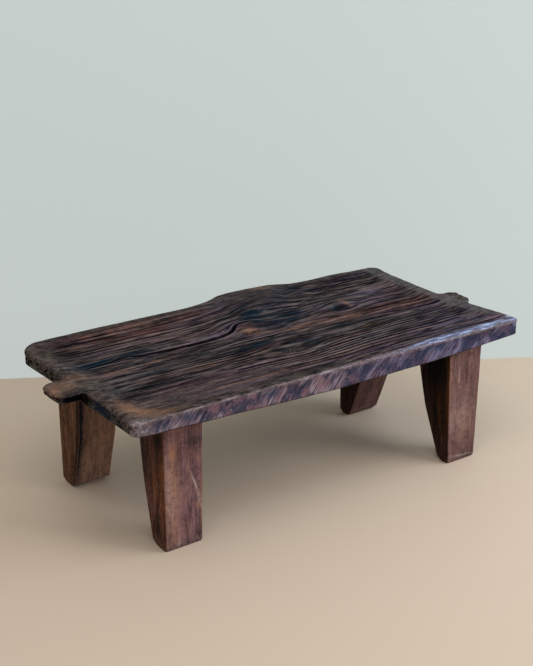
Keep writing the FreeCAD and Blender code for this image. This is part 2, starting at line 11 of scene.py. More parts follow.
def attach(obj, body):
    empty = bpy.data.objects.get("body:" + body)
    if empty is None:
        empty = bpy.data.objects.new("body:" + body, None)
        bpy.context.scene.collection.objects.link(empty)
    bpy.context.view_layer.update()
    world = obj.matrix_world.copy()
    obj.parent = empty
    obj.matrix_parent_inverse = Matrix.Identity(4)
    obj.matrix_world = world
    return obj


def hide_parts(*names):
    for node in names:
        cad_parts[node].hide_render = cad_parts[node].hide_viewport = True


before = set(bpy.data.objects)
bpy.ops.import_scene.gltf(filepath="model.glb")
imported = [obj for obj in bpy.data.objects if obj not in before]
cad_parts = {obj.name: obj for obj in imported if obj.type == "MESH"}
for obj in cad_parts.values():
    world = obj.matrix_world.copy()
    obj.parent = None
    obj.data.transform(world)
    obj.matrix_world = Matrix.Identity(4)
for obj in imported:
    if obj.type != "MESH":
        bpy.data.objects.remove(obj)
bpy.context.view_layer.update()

MM = 0.001

# The plank's outline, its heights and the relief of its top

LEFT, RIGHT, FRONT, BACK = -582.0, 624.0, -317.0, 281.0
RIM = 386.0
TOP_LIMIT = 391.6
CORNERS = [  # x, y, radius, going round against the clock from the front left corner
    (LEFT, FRONT, 20), (RIGHT + 12, FRONT, 16), (RIGHT - 3, -121, 8), (649, -113, 14), (648, -38, 14),
    (RIGHT - 11, -35, 8), (RIGHT, BACK, 32), (LEFT - 5, BACK, 66), (LEFT, 12.5, 8), (-652, 12.5, 34),
    (-652, -82.5, 34), (LEFT, -82.5, 8),
]
RIGHT_HOLLOW = 12.0
SWELL = dict(x=163.0, y=217.0, z=361.0, half_length=198.0, half_width=100.0, half_height=31.0)
SWELL_SHARE = [  # x and how much of the swell's whole reach and rise the back edge has there
    (-90, 0), (-64, 0.04), (-44, 0.10), (-24, 0.20), (-4, 0.30), (15, 0.46), (34, 0.64), (54, 0.86),
    (74, 0.94), (94, 1.0), (150, 1.0), (193, 0.95), (233, 0.84), (253, 0.73), (272, 0.54), (292, 0.38),
    (312, 0.25), (340, 0.12), (380, 0),
]
SWELL_REACH = 36.0
SWELL_RISE = 5.8
BACK_RIM_RISE = [
    (-582, 0), (-450, 1.5), (-350, 2.5), (300, 1.5), (400, 4.5), (470, 5.0), (530, 2.5), (624, 1.0),
]
# Where the plain worn bands at the two ends stop: y, and how far further in than x = -505 the left one does,
# or the x where the right one does.
LEFT_BAND = [(-317, 40), (-210, 0), (-100, 28), (0, 24), (80, 0), (281, 18)]
RIGHT_BAND = [(-317, 612), (-262, 600), (-200, 580), (-110, 560), (-80, 566), (281, 570)]
BELLY = [  # x and the height of the underside there
    (-652, 354), (-582, 350), (-526, 345), (-400, 341), (-314, 338), (-161, 331), (-10, 326), (138, 326),
    (278, 326), (368, 327), (494, 332), (610, 336), (652, 338),
]
LUG_UNDER = 360.0
DISH = dict(margin=14.0, slope=70.0, depth=7.0)

# Lines that the grain follows, as places x, y along the plank. The number in front names each line.
GRAIN_GUIDES = [
    (-317, [(-652, -317), (652, -317)]),
    (-235, [(-582, -235), (-200, -232), (0, -237), (200, -228), (624, -225)]),
    (-175, [(-582, -175), (-200, -176), (-100, -181), (0, -187), (100, -177), (200, -168), (300, -163),
            (624, -160)]),
    (-114, [(-582, -118), (-300, -112), (-120, -112), (-85, -126), (-50, -142), (0, -152), (40, -143),
            (80, -126), (110, -114), (150, -112), (260, -120), (300, -116), (360, -108), (624, -112)]),
    (-97, [(-582, -95), (-300, -97), (-200, -104), (-120, -104), (-50, -88), (0, -80), (60, -84), (110, -98),
           (220, -108), (260, -104), (290, -90), (320, -86), (360, -94), (624, -98)]),
    (-60, [(-582, -60), (-150, -60), (0, -55), (60, -55), (150, -62), (300, -60), (624, -66)]),
    (-20, [(-582, -20), (50, -18), (80, -23), (150, -25), (330, -18), (624, -20)]),
    (26, [(-582, 25), (-100, 25), (-60, 24), (-30, 18), (0, 12), (40, 10), (80, 20), (110, 36), (160, 42),
          (220, 50), (260, 46), (285, 36), (305, 30), (330, 36), (370, 50), (430, 56), (624, 48)]),
    (48, [(-582, 50), (-525, 52), (-450, 58), (-395, 72), (-380, 72), (-350, 56), (-300, 47), (-200, 43),
          (-100, 52), (-60, 68), (-30, 95), (-10, 110), (20, 114), (45, 106), (75, 93), (110, 84), (160, 80),
          (220, 84), (270, 92), (300, 100), (330, 98), (370, 84), (430, 72), (624, 64)]),
    (102, [(-582, 100), (-200, 97), (-130, 101), (-90, 110), (-50, 128), (0, 141), (50, 148), (100, 141),
           (150, 129), (200, 122), (330, 128), (624, 128)]),
    (165, [(-582, 165), (-300, 160), (-180, 160), (-100, 170), (-20, 184), (40, 196), (90, 208), (150, 208),
           (200, 198), (260, 190), (330, 184), (624, 187)]),
    (281, [(-652, 281), (-40, 281), (60, 294), (120, 310), (163, 317), (220, 309), (300, 285), (360, 281),
           (652, 281)]),
]

# Furrows that weather has opened along the grain: grain line, from x, to x, half width, depth.
FURROWS = [
    # back left, between the crack and the back edge
    (165, -500, 70, 4.6, 5.0), (262, -470, -90, 3.0, 0.7), (240, -480, -60, 3.6, 1.1),
    (222, -470, -30, 3.8, 1.3), (205, -450, -10, 3.2, 1.1), (190, -460, -60, 2.6, 0.6),
    (148, -470, -320, 2.8, 0.7), (113, -450, -160, 2.6, 1.4), (102, -160, 35, 3.4, 3.8),
    (94, -140, -20, 2.6, 2.6), (109, -110, 45, 2.6, 2.4),
    # left, between the crack and the flat knot
    (38, -380, -80, 2.4, 1.8), (30, -370, -60, 2.4, 1.8), (18, -330, -60, 2.4, 1.6),
    (8, -330, -80, 2.4, 1.8), (-4, -330, -60, 2.4, 1.6), (-20, -140, 55, 3.6, 3.8),
    (-12, -300, -140, 2.4, 1.4), (-33, -300, -80, 2.6, 1.4), (-45, -330, -100, 2.6, 1.4),
    (-57, -300, -60, 3.2, 2.4), (-68, -340, -20, 2.6, 2.2), (-80, -330, 10, 3.4, 3.6),
    (-92, -300, -30, 3.4, 3.6), (-98, -440, -160, 2.6, 1.6), (-107, -440, -150, 2.6, 1.8),
    (-120, -450, -80, 3.4, 2.6), (-130, -420, -100, 2.6, 1.2), (-142, -420, -90, 2.6, 1.0),
    (-156, -380, -120, 2.6, 0.8),
    # front, where the furrows run on to the right end
    (-64, 50, 612, 6.5, 5.6), (-98, 300, 578, 4.4, 6.0), (-112, 150, 560, 3.4, 2.4),
    (-127, 90, 564, 4.0, 4.0), (-141, 60, 568, 4.0, 4.2), (-155, 30, 572, 4.4, 5.0),
    (-169, -215, 570, 4.6, 5.4), (-183, -235, 566, 4.2, 4.8), (-197, -130, 556, 4.0, 4.4),
    (-212, -60, 540, 4.0, 3.6), (-228, -110, 420, 3.4, 2.6), (-244, 0, 440, 3.2, 1.8),
    (-205, -460, -300, 3.0, 0.7), (-188, -470, -340, 3.0, 0.8), (-238, -420, -120, 3.0, 0.8),
    # back right, behind the small knot
    (187, 440, 568, 5.5, 6.0), (172, 455, 572, 3.4, 3.0), (200, 430, 562, 2.8, 1.6),
    (228, 330, 560, 4.2, 1.5), (245, 340, 590, 3.6, 1.8), (212, 290, 500, 3.2, 1.6),
    (150, 330, 440, 2.8, 0.9), (135, 320, 430, 3.0, 0.8), (58, 355, 602, 3.4, 3.4), (75, 400, 560, 2.4, 1.2),
    (42, 350, 560, 2.6, 1.6), (25, 330, 590, 2.6, 1.4), (8, 180, 590, 2.8, 1.6), (-8, 240, 600, 2.6, 1.6),
    (-25, 150, 590, 2.6, 1.4), (-42, 140, 580, 2.6, 1.6),
    # between the two knots
    (60, 118, 262, 3.4, 4.2), (42, 110, 270, 2.6, 2.6), (114, 100, 245, 2.8, 2.6), (97, 130, 255, 2.6, 2.0),
    (76, 120, 282, 2.4, 1.8), (30, 90, 220, 2.6, 2.4), (172, 140, 330, 2.8, 2.0), (150, 110, 300, 2.6, 1.6),
    (182, 192, 305, 4.0, 4.6),
]

CRACK = [
    (-538, 51, 1.4), (-500, 53, 2.8), (-450, 58, 3.4), (-412, 67, 4.4), (-392, 73, 5.0), (-378, 71, 4.6),
    (-352, 56, 5.8), (-300, 47, 6.6), (-250, 44, 6.4), (-200, 43, 6.6), (-150, 45, 6.4), (-100, 51, 6.4),
    (-78, 58, 5.8), (-60, 67, 5.2), (-44, 81, 4.8), (-28, 98, 4.6), (-12, 110, 3.8), (6, 114, 2.4),
    (26, 114, 2.2), (42, 109, 1.8), (54, 101, 1.0),
]
CRACK_DEPTH = 9.0

# Broad hollows and lumps in the top: x, y, half length, half width, turn in degrees, depth. A lump's depth is
# less than zero.
SWALES = [
    (88, 104, 70, 34, -12, 6.5), (-435, 60, 95, 20, 2, 3.0), (226, 84, 66, 15, 4, 4.5),
    (238, 232, 26, 52, -18, 8.0), (330, -61, 300, 10, 0, 2.0), (-8, -94, 70, 9, 4, 2.0),
    (110, 42, 60, 10, 12, 2.5), (510, 180, 70, 16, 0, 3.0), (-60, 10, 30, 14, 0, 1.5),
    (120, -52, 60, 10, -6, 2.5), (280, -40, 60, 12, 4, 1.5), (-12, 62, 36, 26, 35, -6.0),
    (4, 94, 22, 10, 10, -3.5), (314, 66, 16, 22, -20, -8.0), (288, 60, 11, 22, -20, 5.5),
    (2, -120, 60, 18, 0, -3.5), (-4, -137, 46, 9, 0, 3.0), (288, -104, 20, 8, 10, -2.5),
    (40, 232, 60, 30, 20, -2.5), (150, 250, 34, 60, -30, -1.5), (196, 268, 22, 20, -20, -3.0),
    (95, 268, 20, 44, -28, 2.0), (-380, 66, 14, 8, 0, -2.5), (400, 250, 120, 22, 0, 1.5),
    (-300, 225, 160, 40, 0, 1.2), (-250, -230, 180, 40, 0, -1.0),
]

# Where the wood between the listed furrows is smooth: patches, as for the stains below.
CALM = [
    (150, -165, 420, 60, 1, 0.9), (430, -97, 140, 20, 0, 0.8), (-250, 50, 280, 22, 0, 0.9),
    (-270, 128, 210, 26, 0, 1.2), (-300, 240, 190, 44, 0, 0.8), (460, 130, 110, 60, 0, 0.9),
    (-480, -50, 110, 90, 0, 1.0), (-350, -200, 190, 56, 0, 0.9),
]

# Colour patches on the top, in the order in which they are laid: paint, strength, how much of it shows on dark
# wood, and its patches, each x, y, half length, half width, turn in degrees, strength. Most are stains; the
# violet ones are painted sheen, a reflection of the light, and the teal ones are partly dark stain and partly
# painted shade, with a bluish reflection, in the hollows.
STAINS = dict(
    olive=((0.020, 0.023, 0.022), 1.25, 0.6, [
        (130, 236, 170, 52, 0, 0.5), (-30, 262, 90, 30, 8, 0.3), (430, 250, 200, 30, 0, 0.35),
        (330, 104, 90, 30, 0, 0.5), (200, 170, 110, 26, 0, 0.45), (-540, 190, 60, 90, 0, 0.35),
        (-430, 104, 110, 26, 0, 0.5), (-350, 262, 150, 24, 0, 0.35), (-560, -60, 60, 50, 0, 0.35),
        (90, 118, 70, 30, -12, 0.5), (240, -66, 150, 26, 0, 0.6), (0, -122, 86, 24, 3, 0.75),
        (420, -112, 230, 34, 0, 0.45), (430, -200, 180, 40, 0, 0.3), (644, -76, 34, 44, 0, 0.9),
        (206, 250, 60, 30, 0, 0.35), (330, 110, 60, 24, 0, 0.4), (206, -47, 70, 22, 0, 0.5),
        (454, -122, 70, 24, 0, 0.3), (-414, -47, 80, 24, 0, 0.5), (-42, -197, 60, 18, 0, 0.3),
        (-290, 268, 110, 16, 0, 0.4),
    ]),
    dark=((0.006, 0.006, 0.006), 1.1, 0.9, [
        (-510, 200, 60, 60, 0, 0.5), (0, 248, 60, 20, 12, 0.3), (506, 186, 60, 8, 0, 1.2),
        (293, 82, 36, 13, 45, 1.5), (-440, 66, 90, 7, 2, 0.8), (-52, -138, 24, 8, -10, 1.2),
        (2, -139, 36, 7, 0, 0.8), (30, -146, 60, 7, 4, 0.6), (420, 262, 200, 16, 0, 0.5),
        (560, 62, 50, 8, 0, 0.5), (180, 230, 90, 20, 0, 0.3), (-400, 90, 100, 10, 0, 0.4),
        (400, 210, 160, 14, 0, 0.4), (6, 86, 26, 7, 0, 0.8), (52, 96, 14, 10, 0, 0.8),
        (84, 286, 10, 30, -28, 0.8),
    ]),
    red=((0.120, 0.046, 0.038), 0.75, 0.3, [
        (-330, 225, 190, 52, 0, 1.0), (-210, 190, 120, 30, 4, 0.7), (400, -8, 200, 30, 0, 1.0),
        (210, 0, 100, 26, 0, 0.6), (-60, 215, 60, 40, 15, 0.6), (-250, 130, 160, 30, 0, 0.45),
        (-30, -72, 70, 8, 4, 0.8), (90, -84, 26, 10, 0, 0.8), (-280, -104, 180, 12, 2, 0.5),
        (520, -40, 90, 26, 0, 0.6), (-470, -12, 60, 12, 0, 0.9), (250, -140, 260, 8, 0, 0.3),
        (-620, -40, 44, 36, 0, 0.4), (-330, -200, 170, 44, 0, 0.8), (-200, -262, 230, 26, 0, 0.6),
        (60, 268, 30, 34, -25, 0.4), (470, 60, 90, 16, 0, 0.5), (180, 44, 70, 6, 0, 0.7),
        (500, 130, 60, 30, 0, 0.3), (-100, -205, 200, 8, 0, 0.4),
    ]),
    pale=((0.135, 0.112, 0.120), 0.8, 0.3, [
        (90, 26, 56, 14, 0, 0.8), (470, 28, 130, 20, 0, 0.7), (-166, -46, 80, 12, 0, 0.6),
        (470, 118, 90, 34, 0, 0.4), (580, 120, 30, 120, 0, 0.5), (-190, 134, 150, 18, 0, 0.35),
        (400, -224, 150, 20, 0, 0.3), (20, 14, 40, 8, 0, 0.3),
    ]),
    # painted sheen: violet reflections of the light on slopes and hollows that face the front
    violet_sheen=((0.100, 0.086, 0.150), 0.9, 0.3, [
        (215, 88, 80, 12, 5, 1.4), (-120, 190, 50, 14, 6, 0.7), (165, 175, 60, 20, 10, 0.5),
        (450, 118, 80, 34, 0, 0.5), (380, 60, 60, 20, 0, 0.4), (450, -225, 150, 34, 0, 0.9),
        (-30, 120, 60, 12, 20, 0.5), (185, 205, 30, 20, 0, 0.8), (500, -150, 80, 40, 0, 0.5),
        (-170, -262, 200, 10, 0, 0.6), (20, 252, 60, 18, 20, 0.4), (200, -255, 200, 10, 0, 0.5),
        (-300, -225, 170, 34, 0, 0.35),
    ]),
    # partly the wood's dark stain, partly painted shade with a bluish reflection of the light in the hollows
    teal=((0.006, 0.017, 0.030), 1.7, 1.0, [
        (-430, 72, 96, 10, 3, 1.3), (96, 108, 88, 26, -10, 1.4), (70, 150, 40, 18, -30, 1.2),
        (200, 190, 60, 16, -20, 0.5), (248, 242, 46, 26, 20, 1.2), (218, 215, 34, 9, 6, 1.3),
        (150, 60, 70, 8, 4, 0.7), (110, -60, 60, 7, -4, 0.7), (230, -62, 90, 6, 0, 0.6),
        (-520, 36, 30, 22, 0, 0.7), (-510, -112, 50, 20, 0, 0.7), (284, 62, 12, 30, -20, 1.1),
        (-10, -44, 70, 8, 0, 0.5), (-60, -54, 50, 10, 0, 0.6), (20, -112, 60, 16, 6, 0.5),
        (30, 190, 50, 8, 12, 0.8), (-350, 20, 60, 7, 0, 0.6), (-100, -62, 40, 8, 0, 0.7),
        (480, -64, 160, 6, 0, 0.4), (-280, -30, 160, 12, 0, 0.25), (310, 222, 44, 9, 8, 0.7),
        (-380, -62, 120, 10, 0, 0.35), (120, 210, 60, 7, 0, 0.6), (90, 20, 50, 7, 16, 0.6),
        (380, -184, 140, 5, 0, 0.4),
    ]),
    orange=((0.230, 0.108, 0.060), 0.8, 0.3, [
        (-26, 46, 15, 20, 20, 1.1), (-4, 26, 24, 8, 0, 0.8), (30, 12, 22, 7, -10, 0.55),
        (338, 84, 10, 22, -10, 1.2), (-330, -2, 46, 7, 0, 0.7), (105, -8, 40, 9, 8, 0.5),
        (380, -22, 160, 16, 0, 0.3), (270, -28, 40, 12, 0, 0.5), (-540, -235, 24, 50, 10, 1.0),
        (-490, -292, 46, 14, -4, 0.9), (-505, -262, 30, 12, -20, 0.8), (-300, 242, 150, 6, 0, 0.5),
        (-120, 236, 30, 8, 0, 0.4), (-560, 6, 40, 16, 0, 0.4), (-610, -30, 40, 26, -10, 0.5),
        (-640, -52, 14, 20, 0, 1.0), (200, -236, 190, 6, 0, 0.6), (-230, -240, 150, 5, 0, 0.5),
        (192, 300, 22, 8, -20, 1.2), (500, -30, 90, 16, 0, 0.25), (-250, -104, 150, 4, 2, 0.45),
        (-14, 36, 20, 26, 10, 0.7), (334, 48, 10, 14, -16, 0.6), (60, -250, 240, 5, 0, 0.5),
        (270, -104, 18, 6, 20, 0.6), (400, -212, 120, 5, 0, 0.5), (230, 48, 40, 7, 0, 0.5),
        (-455, -6, 40, 8, 0, 0.5),
    ]),
)

# Single marks, as patches like those above.
FLAT_KNOT = (-10, -133, 26, 13, 0, 1.0)
SMOOTH_SWELL = (130, 262, 110, 52, 0, 1.0)
WORN_CORNER = (-540, -300, 60, 60, 0, 1.0)
PALE_CORNER = (LEFT + 10, FRONT + 2, 32, 18, 0, 1.4)
# painted shadow on the side beside the left lug
BESIDE_LUG = (LEFT, -95, 30, 14, 0, 1.0)
INKY_END = (LEFT, -165, 30, 52, 0, 1.0)
NAVY_SPOTS = [  # on the front face, with z for y
    (-508, 364, 24, 13, 0, 0.8), (-440, 368, 26, 13, 0, 0.9), (-205, 366, 24, 16, 0, 0.9),
    (60, 362, 40, 14, 0, 0.5), (330, 366, 50, 14, 0, 0.5), (-330, 356, 40, 10, 0, 0.4),
]

# How deep each kind of relief goes, at most.
COARSE_FURROW, MIDDLE_FURROW = 2.0, 1.3
BROAD_WAVE, HEWN_WAVE = 1.7, 1.8
RIB_HEIGHT, KNOB_HEIGHT = 2.6, 9.0
CALMING = 0.75

# The plank's mesh: rings of points round its edge, and grids of cells inside them on the top and underneath.
TOP_RING_INSETS = [0.15, 0.8, 1.9, 3.3, 5.0, 6.8, 8.6, 10.4]
UNDER_RING_INSETS = [0.6, 2.6, 6.0, 10.0]
SIDE_ROWS = 11
OUTLINE_STEP = 4.2
TOP_CELL = (5.2, 2.05)
UNDER_CELL = (13.0, 10.0)
TOP_GAP, UNDER_GAP = 1.4, 5.0  # between the innermost ring and the grid
LOWER_REACH, LOWER_RISE = 6.0, 4.0  # how far in and how far up the lower arris is rounded
SIDE_SET_BACK = 0.4
ON_TOP, ON_SIDE, UNDERNEATH = 0, 1, 2  # the part of the plank that a point of its mesh belongs to
BATCH = 4000  # points that are measured against the outline at a time
CLOUD_SIZE = 128  # cells before a cloud repeats
TINY = 1e-6


def soft_step(low, high, value):
    """Rises smoothly from 0 at low to 1 at high."""
    t = np.clip((value - low) / (high - low), 0.0, 1.0)
    return t * t * (3.0 - 2.0 * t)


def cloud(u, v, seed):
    """Smooth random values from 0 to 1 that change over about one unit of u and v."""
    table = np.random.default_rng(seed).random((CLOUD_SIZE, CLOUD_SIZE))
    iu, iv = np.floor(u).astype(int), np.floor(v).astype(int)
    fu, fv = u - iu, v - iv
    fu, fv = fu * fu * (3 - 2 * fu), fv * fv * (3 - 2 * fv)
    left, right = iu % CLOUD_SIZE, (iu + 1) % CLOUD_SIZE
    low, high = iv % CLOUD_SIZE, (iv + 1) % CLOUD_SIZE
    near = table[left, low] * (1 - fu) + table[right, low] * fu
    far = table[left, high] * (1 - fu) + table[right, high] * fu
    return near * (1 - fv) + far * fv


def rough_cloud(u, v, seed):
    """Three layers of cloud, each half as large and half as strong as the one before."""
    return (4 * cloud(u, v, seed) + 2 * cloud(2 * u, 2 * v, seed + 1) + cloud(4 * u, 4 * v, seed + 2)) / 7


def patches(x, y, spots):
    """The strength at x, y of soft oval patches, each x, y, half length, half width, turn, strength."""
    total = np.zeros_like(x)
    for px, py, half_length, half_width, turn, strength in spots:
        c, s = math.cos(math.radians(turn)), math.sin(math.radians(turn))
        along = ((x - px) * c + (y - py) * s) / half_length
        across = ((y - py) * c - (x - px) * s) / half_width
        total += strength * np.exp(-(along ** 2 + across ** 2))
    return total


# Outline

def rounded_outline(corners, step):
    """Points about one step apart round a polygon with rounded corners, without repeating the first."""
    points = []
    count = len(corners)
    for i, (x, y, radius) in enumerate(corners):
        here = np.array([x, y], float)
        before = np.array(corners[i - 1][:2], float) - here
        after = np.array(corners[(i + 1) % count][:2], float) - here
        before /= np.linalg.norm(before)
        after /= np.linalg.norm(after)
        half_angle = math.acos(np.clip(before @ after, -1, 1)) / 2
        bisector = (before + after) / np.linalg.norm(before + after)
        centre = here + bisector * radius / math.sin(half_angle)
        start = here + before * radius / math.tan(half_angle)
        end = here + after * radius / math.tan(half_angle)
        a0 = math.atan2(*(start - centre)[::-1])
        turn = math.atan2(*(end - centre)[::-1]) - a0
        turn = (turn + math.pi) % (2 * math.pi) - math.pi
        for t in np.linspace(0, 1, 25):
            a = a0 + turn * t
            points.append(centre + radius * np.array([math.cos(a), math.sin(a)]))
    points = np.array(points)
    closed = np.vstack([points, points[:1]])
    lengths = np.concatenate([[0], np.cumsum(np.linalg.norm(np.diff(closed, axis=0), axis=1))])
    places = np.linspace(0, lengths[-1], int(lengths[-1] / step), endpoint=False)
    return np.stack([np.interp(places, lengths, closed[:, k]) for k in (0, 1)], 1)


def table_curve(x, places):
    """Reads a curve at x from a short table of places."""
    px, py = zip(*places)
    return np.interp(x, px, py)


def swell_share(x):
    """How much of its whole reach and rise the knot swell has at x."""
    left, here, right = [table_curve(x + away, SWELL_SHARE) for away in (-9, 0, 9)]
    return (left + 2 * here + right) / 4


def bent_outline(step):
    """The plank's outline with its hollow right end and its knot swell."""
    outline = rounded_outline(CORNERS, step)
    x, y = outline[:, 0], outline[:, 1]
    middle = (FRONT + BACK) / 2
    hollow = RIGHT_HOLLOW * (1 - ((y - middle) / (BACK - middle)) ** 2)
    on_lug = soft_step(-150, -120, y) * (1 - soft_step(-48, -20, y))
    x = x - np.where(x > 560, hollow * soft_step(580, 612, x) * (1 - on_lug), 0)
    y = y + np.where(y > 200, SWELL_REACH * swell_share(x) * soft_step(240, 280, y), 0)
    return np.stack([x, y], 1)


def outward_normals(outline):
    """Unit vectors pointing out of the outline, one for each of its points."""
    tangent = np.roll(outline, -1, 0) - np.roll(outline, 1, 0)
    tangent /= np.linalg.norm(tangent, axis=1)[:, None]
    return np.stack([tangent[:, 1], -tangent[:, 0]], 1)


def inset_from(outline, x, y):
    """How far each point lies from the nearest place on the outline."""
    a, b = outline, np.roll(outline, -1, 0)
    ab = b - a
    squared = (ab ** 2).sum(1)
    result = np.empty(len(x))
    for start in range(0, len(x), BATCH):
        part = slice(start, start + BATCH)
        px, py = x[part, None] - a[:, 0], y[part, None] - a[:, 1]
        t = np.clip((px * ab[:, 0] + py * ab[:, 1]) / squared, 0, 1)
        result[part] = np.sqrt(((px - t * ab[:, 0]) ** 2 + (py - t * ab[:, 1]) ** 2).min(1))
    return result


# Relief

def grain_line(x, y):
    """The name of the grain line through each place. It is even along a fibre, and fibres part at knots."""
    dense = np.arange(-700, 701, 4.0)
    kernel = np.exp(-(np.arange(-40, 41, 4.0) / 13.0) ** 2)
    kernel /= kernel.sum()
    names, lines = [], []
    for name, places in GRAIN_GUIDES:
        px, py = zip(*places)
        smooth = np.convolve(np.pad(np.interp(dense, px, py), 10, mode="edge"), kernel, mode="valid")
        names.append(float(name))
        lines.append(np.interp(x, dense, smooth))
    result = names[0] + (y - lines[0])
    for k in range(len(names) - 1):
        share = (y - lines[k]) / (lines[k + 1] - lines[k])
        result = np.where(y >= lines[k], names[k] + share * (names[k + 1] - names[k]), result)
    result = np.where(y >= lines[-1], names[-1] + (y - lines[-1]), result)
    return result + 4.0 * (cloud(x / 85, result / 30, 4) - 0.5)


def fading(x, start, end, ramp=32.0):
    """1 between start and end, fading to 0 over a ramp inside each."""
    return soft_step(start, start + ramp, x) * (1 - soft_step(end - ramp, end, x))


def crack_distance(x, y):
    """How far each place lies from the middle of the crack, counted in the crack's own half widths."""
    path = np.array(CRACK, float)
    best = np.full_like(x, 99.0)
    for (ax, ay, aw), (bx, by, bw) in zip(path[:-1], path[1:]):
        t = np.clip(((x - ax) * (bx - ax) + (y - ay) * (by - ay)) / ((bx - ax) ** 2 + (by - ay) ** 2), 0, 1)
        away = np.hypot(x - ax - t * (bx - ax), y - ay - t * (by - ay))
        best = np.minimum(best, away / (aw + t * (bw - aw)))
    return best


def end_band(x, y):
    """1 on the plain worn bands at the plank's two ends, where no furrow is open."""
    ragged = 26 * (rough_cloud(x / 60, y / 22, 90) - 0.5)
    left = soft_step(-505, -560, x - table_curve(y, LEFT_BAND) + 1.4 * ragged)
    return np.clip(left + soft_step(-7, 7, x - table_curve(y, RIGHT_BAND) + 0.5 * ragged), 0, 1)


def grain_room(x, y, inset):
    """Where weather has opened the grain: not on the end bands, and less in the smoother parts."""
    worn_front = 1 - 0.45 * soft_step(-150, -200, y) * soft_step(60, -160, x)
    swell = 1 - CALMING * patches(x, y, [SMOOTH_SWELL])
    edge = 0.25 + 0.75 * soft_step(10, 34, inset)
    return (1 - end_band(x, y)) * worn_front * np.clip(swell, 0, 1) * edge


def fine_furrows(x, line):
    """Two sizes of short wavering furrows, between 0 and 1."""
    waver = line + 4.0 * cloud(x / 70, line / 40, 3)
    coarse = (1 - np.abs(2 * cloud(x / 300, waver / 17, 5) - 1)) ** 3
    middle = (1 - np.abs(2 * cloud(x / 150, waver / 9, 6) - 1)) ** 2.5
    return coarse, middle


def named_furrows(x, line):
    """How deep the listed furrows cut, and how dark they look, at each place."""
    cut, shade = np.zeros_like(x), np.zeros_like(x)
    for seed, (name, start, end, half_width, depth) in enumerate(FURROWS):
        near = np.abs(line - name) < 3 * half_width
        here = x[near]
        strength = fading(here, start, end) * (0.7 + 0.5 * cloud(here / 50, 0.5, 200 + seed))
        trough = np.exp(-((line[near] - name) / half_width) ** 2) * strength
        cut[near] = np.maximum(cut[near], 1.2 * depth * trough)
        shade[near] = np.maximum(shade[near], min(0.5 + depth / 4, 1.6) * trough)
    return cut, shade


def rib_marks(x, y):
    """How far each place belongs to the ribbed flat knot, and the wave of its ribs."""
    return patches(x, y, [FLAT_KNOT]), np.sin((x + 0.55 * y) / 1.9 + 4 * cloud(x / 9, y / 14, 15))


def top_relief(x, y, inset):
    """The top's height, how dark each place is in its furrow, its grain line and the room for open grain."""
    line = grain_line(x, y)
    dished = DISH["depth"] * soft_step(DISH["margin"] - 8, DISH["margin"] + DISH["slope"], inset)
    on_lugs = soft_step(LEFT + 18, LEFT - 6, x) + soft_step(RIGHT - 22, RIGHT, x)
    knobs = soft_step(RIGHT - 4, RIGHT + 10, x) * soft_step(-134, -118, y) * soft_step(-20, -32, y)
    height = RIM - dished * (1 - np.clip(on_lugs, 0, 1))
    height = height + table_curve(x, BACK_RIM_RISE) * soft_step(215, 268, y)
    s = SWELL
    round_out = 1 - ((x - s["x"]) / s["half_length"]) ** 2 - ((y - s["y"]) / s["half_width"]) ** 2
    lump = s["z"] + s["half_height"] * np.sqrt(np.clip(round_out, 0, None)) - 0.4
    height = np.where(round_out > 0, np.maximum(height, lump), height)
    height = np.maximum(height, RIM + SWELL_RISE * swell_share(x) - 14 * soft_step(282, 190, y))
    height = height - patches(x, y, SWALES) * soft_step(0, 20, inset)

    room = grain_room(x, y, inset)
    coarse, middle = fine_furrows(x, line)
    quiet = np.clip(1 - CALMING * patches(x, y, CALM), 0.08, 1)
    cut = room * quiet * (COARSE_FURROW * coarse + MIDDLE_FURROW * middle)
    # how dark the furrows are painted: partly their own dark open grain, partly painted shade in them
    shade = room * quiet * (0.4 * coarse + 0.32 * middle)
    named_cut, named_shade = named_furrows(x, line)
    cut = np.maximum(cut, named_cut * np.sqrt(room))
    shade = np.maximum(shade, named_shade * np.sqrt(room))
    # the crack is painted near black: painted shade in its depth
    away = crack_distance(x, y - 1.0 + 2.5 * (cloud(x / 16, y / 30, 22) - 0.5))
    crack = np.clip(1 - away ** 2, 0, 1) ** 0.6
    shade = np.clip(np.maximum(shade, 1.6 * soft_step(1.6, 0.9, away)), 0, 1)

    broad = BROAD_WAVE * (rough_cloud(x / 170, line / 34, 11) - 0.5) * (0.35 + 0.65 * room)
    hewn = HEWN_WAVE * (rough_cloud(x / 26, y / 26, 12) - 0.5) * (1 - room)
    ribs, wave = rib_marks(x, y)
    knobbly = KNOB_HEIGHT * knobs * (rough_cloud(x / 15, y / 12, 14) - 0.5)
    height = height - cut - CRACK_DEPTH * crack + broad + hewn + RIB_HEIGHT * ribs * wave + knobbly
    return height, shade, line, room


def arris_size(x, y):
    """How far in and how far down the worn top arris reaches at x, y."""
    front = soft_step(-250, -300, y)
    back = soft_step(200, 270, y)
    reach = 9 - 3 * back + front * (6 + 11 * soft_step(-100, 420, x))
    reach = reach + 14 * patches(x, y, [WORN_CORNER])
    chips = cloud(x / 17, y / 17, 31)
    drop = 5 - 3 * back + front * (1.5 + 4.5 * soft_step(40, 420, x) - 4.5 * soft_step(560, 625, x))
    drop = drop + (5 - 4 * back) * soft_step(0.62, 0.9, chips)
    drop = drop + 4 * soft_step(-520, -570, x) * soft_step(0.3, 0.8, cloud(x / 22, y / 22, 32))
    return reach, drop


def arris_drop(x, y, inset):
    """How much lower the top is near its rounded edge."""
    reach, drop = arris_size(x, y)
    t = np.clip(1 - inset / reach, 0, 1)
    return drop * (1 - np.sqrt(np.clip(1 - t ** 2, 0, 1)))


def top_height(x, y, inset):
    """What top_relief gives, with the relief calmer near the edge and the arris rounded down."""
    height, furrow, line, room = top_relief(x, y, inset)
    near_edge = soft_step(0, 14, inset)
    height = np.where(height > RIM, height, RIM + (height - RIM) * (0.35 + 0.65 * near_edge))
    return np.minimum(height, TOP_LIMIT) - arris_drop(x, y, inset), furrow, line, room


